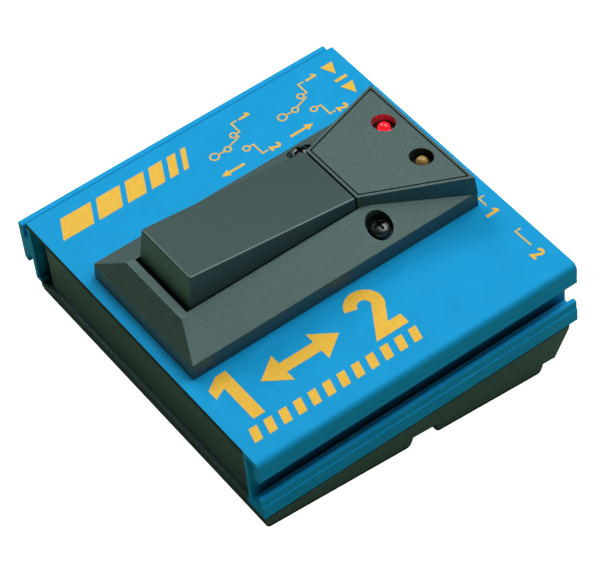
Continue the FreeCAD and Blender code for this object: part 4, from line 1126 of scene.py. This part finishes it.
def nut_mesh(height):
    """A hexagonal nut, whose corners are turned down at both ends."""
    corner = NUT_FLATS / math.sqrt(3)
    prism = bmesh.new()
    plate(prism, arc((0, 0), corner, 30, 390, 6)[:-1], 0, height)
    turning = bmesh.new()
    face = NUT_FLATS / 2 - NUT_FACE_INSET
    wide = corner + TURNING_PAST
    rim = [
        (SLEEVE_RADIUS, -TURNING_PAST),
        (face, -TURNING_PAST),
        (wide, NUT_CORNER_DROP),
        (wide, height - NUT_CORNER_DROP),
        (face, height + TURNING_PAST),
        (SLEEVE_RADIUS, height + TURNING_PAST),
    ]
    turned(turning, rim, around=72, closed=True)
    nut = carved("nut", kept("nut", prism), kept("turning", turning), "INTERSECT")
    nut.transform(OUTWARD)
    return nut


for jack in ("input", "output_1", "output_2"):
    box = solids(jack + "_sleeve")[0]
    name = jack + "_threaded_sleeve"
    sleeve = piece(name, sleeve_mesh(box), NICKEL, "case", JACK_ANGLE)
    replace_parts(sleeve, jack + "_sleeve")
nut_boxes = solids("jack_nuts")
nuts = copies(
    "nuts",
    nut_mesh(nut_boxes[0][1].y - nut_boxes[0][0].y),
    [(middle(box).x, box[0].y, middle(box).z) for box in nut_boxes],
    NICKEL,
)
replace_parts(piece("chamfered_nuts", nuts, NICKEL, "case", JACK_ANGLE), "jack_nuts")
print("jacks at", [round(middle(box).x, 1) for box in nut_boxes])

# %% [markdown]
# ## Springs
#
# A spring is a wire along a spiral, with a closed ring at each end. The real treadle's return
# spring shortens as the treadle goes down; here it keeps the length of the frame's spring and
# rides on the case. Each cell has a small conical spring.

# %% Springs
COIL_STEPS = 40
WIRE_SIDES = 10


def spring_tree(material):
    """A spiral of wire with a ring at its foot and one at its head."""
    tree, given = new_tree(
        "spring_of_" + material.name,
        {
            "Foot": ("Float", 3.6),
            "Head": ("Float", 3.6),
            "Height": ("Float", 12.0),
            "Turns": ("Float", 5.0),
            "Wire": ("Float", 0.4),
        },
    )
    coil = add(
        tree,
        "GeometryNodeCurveSpiral",
        inputs={
            "Resolution": COIL_STEPS,
            "Rotations": given["Turns"],
            "Start Radius": given["Foot"],
            "End Radius": given["Head"],
            "Height": given["Height"],
        },
    )
    low, high = [
        add(
            tree,
            "GeometryNodeCurvePrimitiveCircle",
            inputs={"Resolution": COIL_STEPS, "Radius": given[end]},
        )
        for end in ("Foot", "Head")
    ]
    lift = add(tree, "ShaderNodeCombineXYZ", inputs={"Z": given["Height"]})
    raised = add(
        tree,
        "GeometryNodeTransform",
        inputs={"Geometry": high.outputs["Curve"], "Translation": lift.outputs[0]},
    )
    both = add(tree, "GeometryNodeJoinGeometry")
    for curve in (coil.outputs["Curve"], low.outputs["Curve"], raised.outputs["Geometry"]):
        tree.links.new(curve, both.inputs[0])
    wire = add(
        tree,
        "GeometryNodeCurvePrimitiveCircle",
        inputs={"Resolution": WIRE_SIDES, "Radius": given["Wire"]},
    )
    solid = add(
        tree,
        "GeometryNodeCurveToMesh",
        inputs={
            "Curve": both.outputs[0],
            "Profile Curve": wire.outputs["Curve"],
            "Fill Caps": True,
        },
    )
    return close_tree(tree, solid.outputs["Mesh"], material)


SPRING_WIRE = 0.4
coil_box = solids("treadle_spring")[0]
coil_foot = Vector((middle(coil_box).x, middle(coil_box).y, coil_box[0].z + SPRING_WIRE))
coil = grown(
    "coil",
    spring_tree(ZINC),
    {"Height": coil_box[1].z - coil_box[0].z - 2 * SPRING_WIRE, "Wire": SPRING_WIRE},
)
coil.transform(Matrix.Translation(coil_foot))
coil_piece = piece("treadle_coil", coil, ZINC, "case")
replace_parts(coil_piece, "treadle_spring")
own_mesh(coil_piece)
print("treadle spring", round(coil_box[1].z - coil_box[0].z, 1), "mm long")

# %% Cell springs
CELL_SPRING_WIRE = 0.35
CELL_SPRING_FOOT = 3.4
CELL_SPRING_HEAD = 2.2
CELL_SPRING_LENGTH = 1.8
CELL_SPRING_TURNS = 2.0
cell_coils = bmesh.new()
level_back = (DECK.inverted().to_3x3() @ Vector((0, 1, 0))).normalized()
for box, cell in zip(solids("battery_springs"), ("cell_1", "cell_2")):
    toward = 1 if middle(box).y < middle(solids(cell)[0]).y else -1
    one_coil = grown(
        "cell_coil",
        spring_tree(NICKEL),
        {
            "Foot": CELL_SPRING_FOOT,
            "Head": CELL_SPRING_HEAD,
            "Height": CELL_SPRING_LENGTH - 2 * CELL_SPRING_WIRE,
            "Turns": CELL_SPRING_TURNS,
            "Wire": CELL_SPRING_WIRE,
        },
    )
    axis = level_back * toward
    start = middle(box) - axis * (CELL_SPRING_LENGTH / 2 - CELL_SPRING_WIRE)
    turn = axis.to_track_quat("Z", "X").to_matrix().to_4x4()
    one_coil.transform(Matrix.Translation(start) @ turn)
    cell_coils.from_mesh(one_coil)
cell_springs = piece("cell_coils", kept("cell_coils", cell_coils), NICKEL, "case")
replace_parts(cell_springs, "battery_springs")

# %% [markdown]
# ## Parts on the main board
#
# A selector needs little: four resistors and two capacitors. They stand on the left half of
# the board, in front of the jacks.

# %% Parts on the board
RESISTOR_BODY = moulded("resistor_body", "#C9A878", "#D2B286", 0.4, 0.5, 0.004)
CAPACITOR_SLEEVE = moulded("capacitor_sleeve", "#1B2440", "#202A4A", 0.35, 0.6, 0.002)
RESISTOR_HALF = 3.0
RESISTOR_HEIGHT = 1.25
RESISTOR_LEG = 0.3
RESISTOR_LEG_MIDDLE = 4.0
RESISTOR_LEG_HALF = 1.0
RESISTOR_X = -30.0
RESISTOR_ROWS = (-24.0, -20.5, -17.0, -13.5)
CAPACITOR_X = -16.0
CAPACITOR_ROWS = (-12.0, -4.0)
BOARD = 1.6
board_box = solids("main_board")[0]
BOARD_TOP = board_box[0].z + BOARD


def resistor():
    """Barrel with swollen ends and two short straight legs, lying along X."""
    mesh = bmesh.new()
    half = [(0.45, 0.0), (1.05, 0.25), (1.2, 0.7), (1.0, 1.2), (0.95, 2.0)]
    profile = [(0, -RESISTOR_HALF)] + [(r, w - RESISTOR_HALF) for r, w in half]
    profile += [(r, RESISTOR_HALF - w) for r, w in half[::-1]] + [(0, RESISTOR_HALF)]
    turned(mesh, profile, around=20)
    for end in (-1, 1):
        low = end * RESISTOR_LEG_MIDDLE - RESISTOR_LEG_HALF
        high = end * RESISTOR_LEG_MIDDLE + RESISTOR_LEG_HALF
        leg = [(0, low), (RESISTOR_LEG, low), (RESISTOR_LEG, high), (0, high)]
        turned(mesh, leg, around=10)
    plain = kept("resistor", mesh)
    plain.transform(Matrix.Rotation(math.radians(90), 4, "Y"))
    return plain


resistor_places = [(RESISTOR_X, y, BOARD_TOP + RESISTOR_HEIGHT) for y in RESISTOR_ROWS]
resistors = copies("resistors", resistor(), resistor_places, RESISTOR_BODY)
piece("resistor_row", resistors, RESISTOR_BODY, "case")


def capacitor():
    """Upright can with a groove near its foot and a slightly dished top."""
    mesh = bmesh.new()
    foot = [(0, 0), (2.4, 0), (2.5, 0.5), (2.35, 0.8), (2.5, 1.1)]
    turned(mesh, foot + [(2.5, 6.4), (2.3, 6.8), (0, 6.7)], around=32)
    return kept("capacitor", mesh)


capacitor_places = [(CAPACITOR_X, y, BOARD_TOP) for y in CAPACITOR_ROWS]
capacitors = copies("capacitors", capacitor(), capacitor_places, CAPACITOR_SLEEVE)
piece("capacitor_pair", capacitors, CAPACITOR_SLEEVE, "case")
print("board top at", round(BOARD_TOP, 2))

# %% [markdown]
# ## Studio
#
# The object stands on white paper. A large soft box hangs behind it and a smaller one stands
# on its left. The paper and the room are white only where the camera looks at them: what
# lights the object and mirrors in it is a muted green. From below the paper is clear, with a
# window under the object, and a third lamp lights the underside through it.

# %% Floor
PAPER_TONE = "#9CB594"
PAPER_ROUGHNESS = 0.9
PAPER_DROP = 0.05
PAPER_HALF = 3.0
WINDOW_X = (-0.046, 0.046)
WINDOW_Y = (-0.042, 0.034)


def make_floor():
    """Paper with a window, just under the object."""
    material, tree, shader = finish("studio_paper", PAPER_ROUGHNESS)
    shader.inputs["Base Color"].default_value = linear(PAPER_TONE)
    path = add(tree, "ShaderNodeLightPath")
    glow = add(
        tree,
        "ShaderNodeEmission",
        inputs={"Color": (1, 1, 1, 1), "Strength": path.outputs["Is Camera Ray"]},
    )
    whole = add(tree, "ShaderNodeAddShader", inputs={0: shader.outputs[0], 1: glow.outputs[0]})
    under = add(tree, "ShaderNodeNewGeometry")
    clear = add(tree, "ShaderNodeBsdfTransparent")
    sheet = add(
        tree,
        "ShaderNodeMixShader",
        inputs={0: under.outputs["Backfacing"], 1: whole.outputs[0], 2: clear.outputs[0]},
    )
    tree.links.new(sheet.outputs[0], tree.nodes["Material Output"].inputs["Surface"])
    mesh = bpy.data.meshes.new("studio_floor")
    low = -PAPER_DROP * MM
    corners = []
    for x, y in (((-PAPER_HALF, PAPER_HALF),) * 2, (WINDOW_X, WINDOW_Y)):
        corners += [(x[0], y[0]), (x[1], y[0]), (x[1], y[1]), (x[0], y[1])]
    mesh.from_pydata(
        [(x, y, low) for x, y in corners],
        [],
        [(i, (i + 1) % 4, 4 + (i + 1) % 4, 4 + i) for i in range(4)],
    )
    mesh.materials.append(material)
    floor = bpy.data.objects.new("studio_floor", mesh)
    bpy.context.scene.collection.objects.link(floor)


make_floor()


# %% Lights
def soft_box(name, place, size, power):
    """A white rectangular lamp that looks at the object."""
    data = bpy.data.lights.new(name, "AREA")
    data.shape = "RECTANGLE"
    data.size, data.size_y = size
    data.energy = power
    light = bpy.data.objects.new(name, data)
    aim = (-Vector(place)).to_track_quat("-Z", "Y").to_matrix().to_4x4()
    light.matrix_world = Matrix.Translation(place) @ aim
    bpy.context.scene.collection.objects.link(light)


soft_box("key", (0.1, 0.6, 1.15), (1.3, 1.15), 15.5)
soft_box("side", (-0.9, -0.15, 0.85), (0.8, 0.35), 6.5)
soft_box("underside", (0.2, 0.1, -1.2), (1.0, 1.0), 12)


ROOM_TONE = "#D6EED2"
ROOM_LIGHT = 0.06


def studio_world():
    """White to the camera, and a dim, slightly green room to the object."""
    world = bpy.data.worlds.new("studio")
    bpy.context.scene.world = world
    world.use_nodes = True
    tree = world.node_tree
    room = tree.nodes["Background"]
    room.inputs["Color"].default_value = linear(ROOM_TONE)
    room.inputs["Strength"].default_value = ROOM_LIGHT
    white = add(tree, "ShaderNodeBackground", inputs={"Strength": 1.0})
    white.inputs["Color"].default_value = (1, 1, 1, 1)
    path = add(tree, "ShaderNodeLightPath")
    seen = add(
        tree,
        "ShaderNodeMixShader",
        inputs={0: path.outputs["Is Camera Ray"], 1: room.outputs[0], 2: white.outputs[0]},
    )
    tree.links.new(seen.outputs[0], tree.nodes["World Output"].inputs["Surface"])


studio_world()

# %% View
bpy.context.scene.view_settings.view_transform = "Standard"
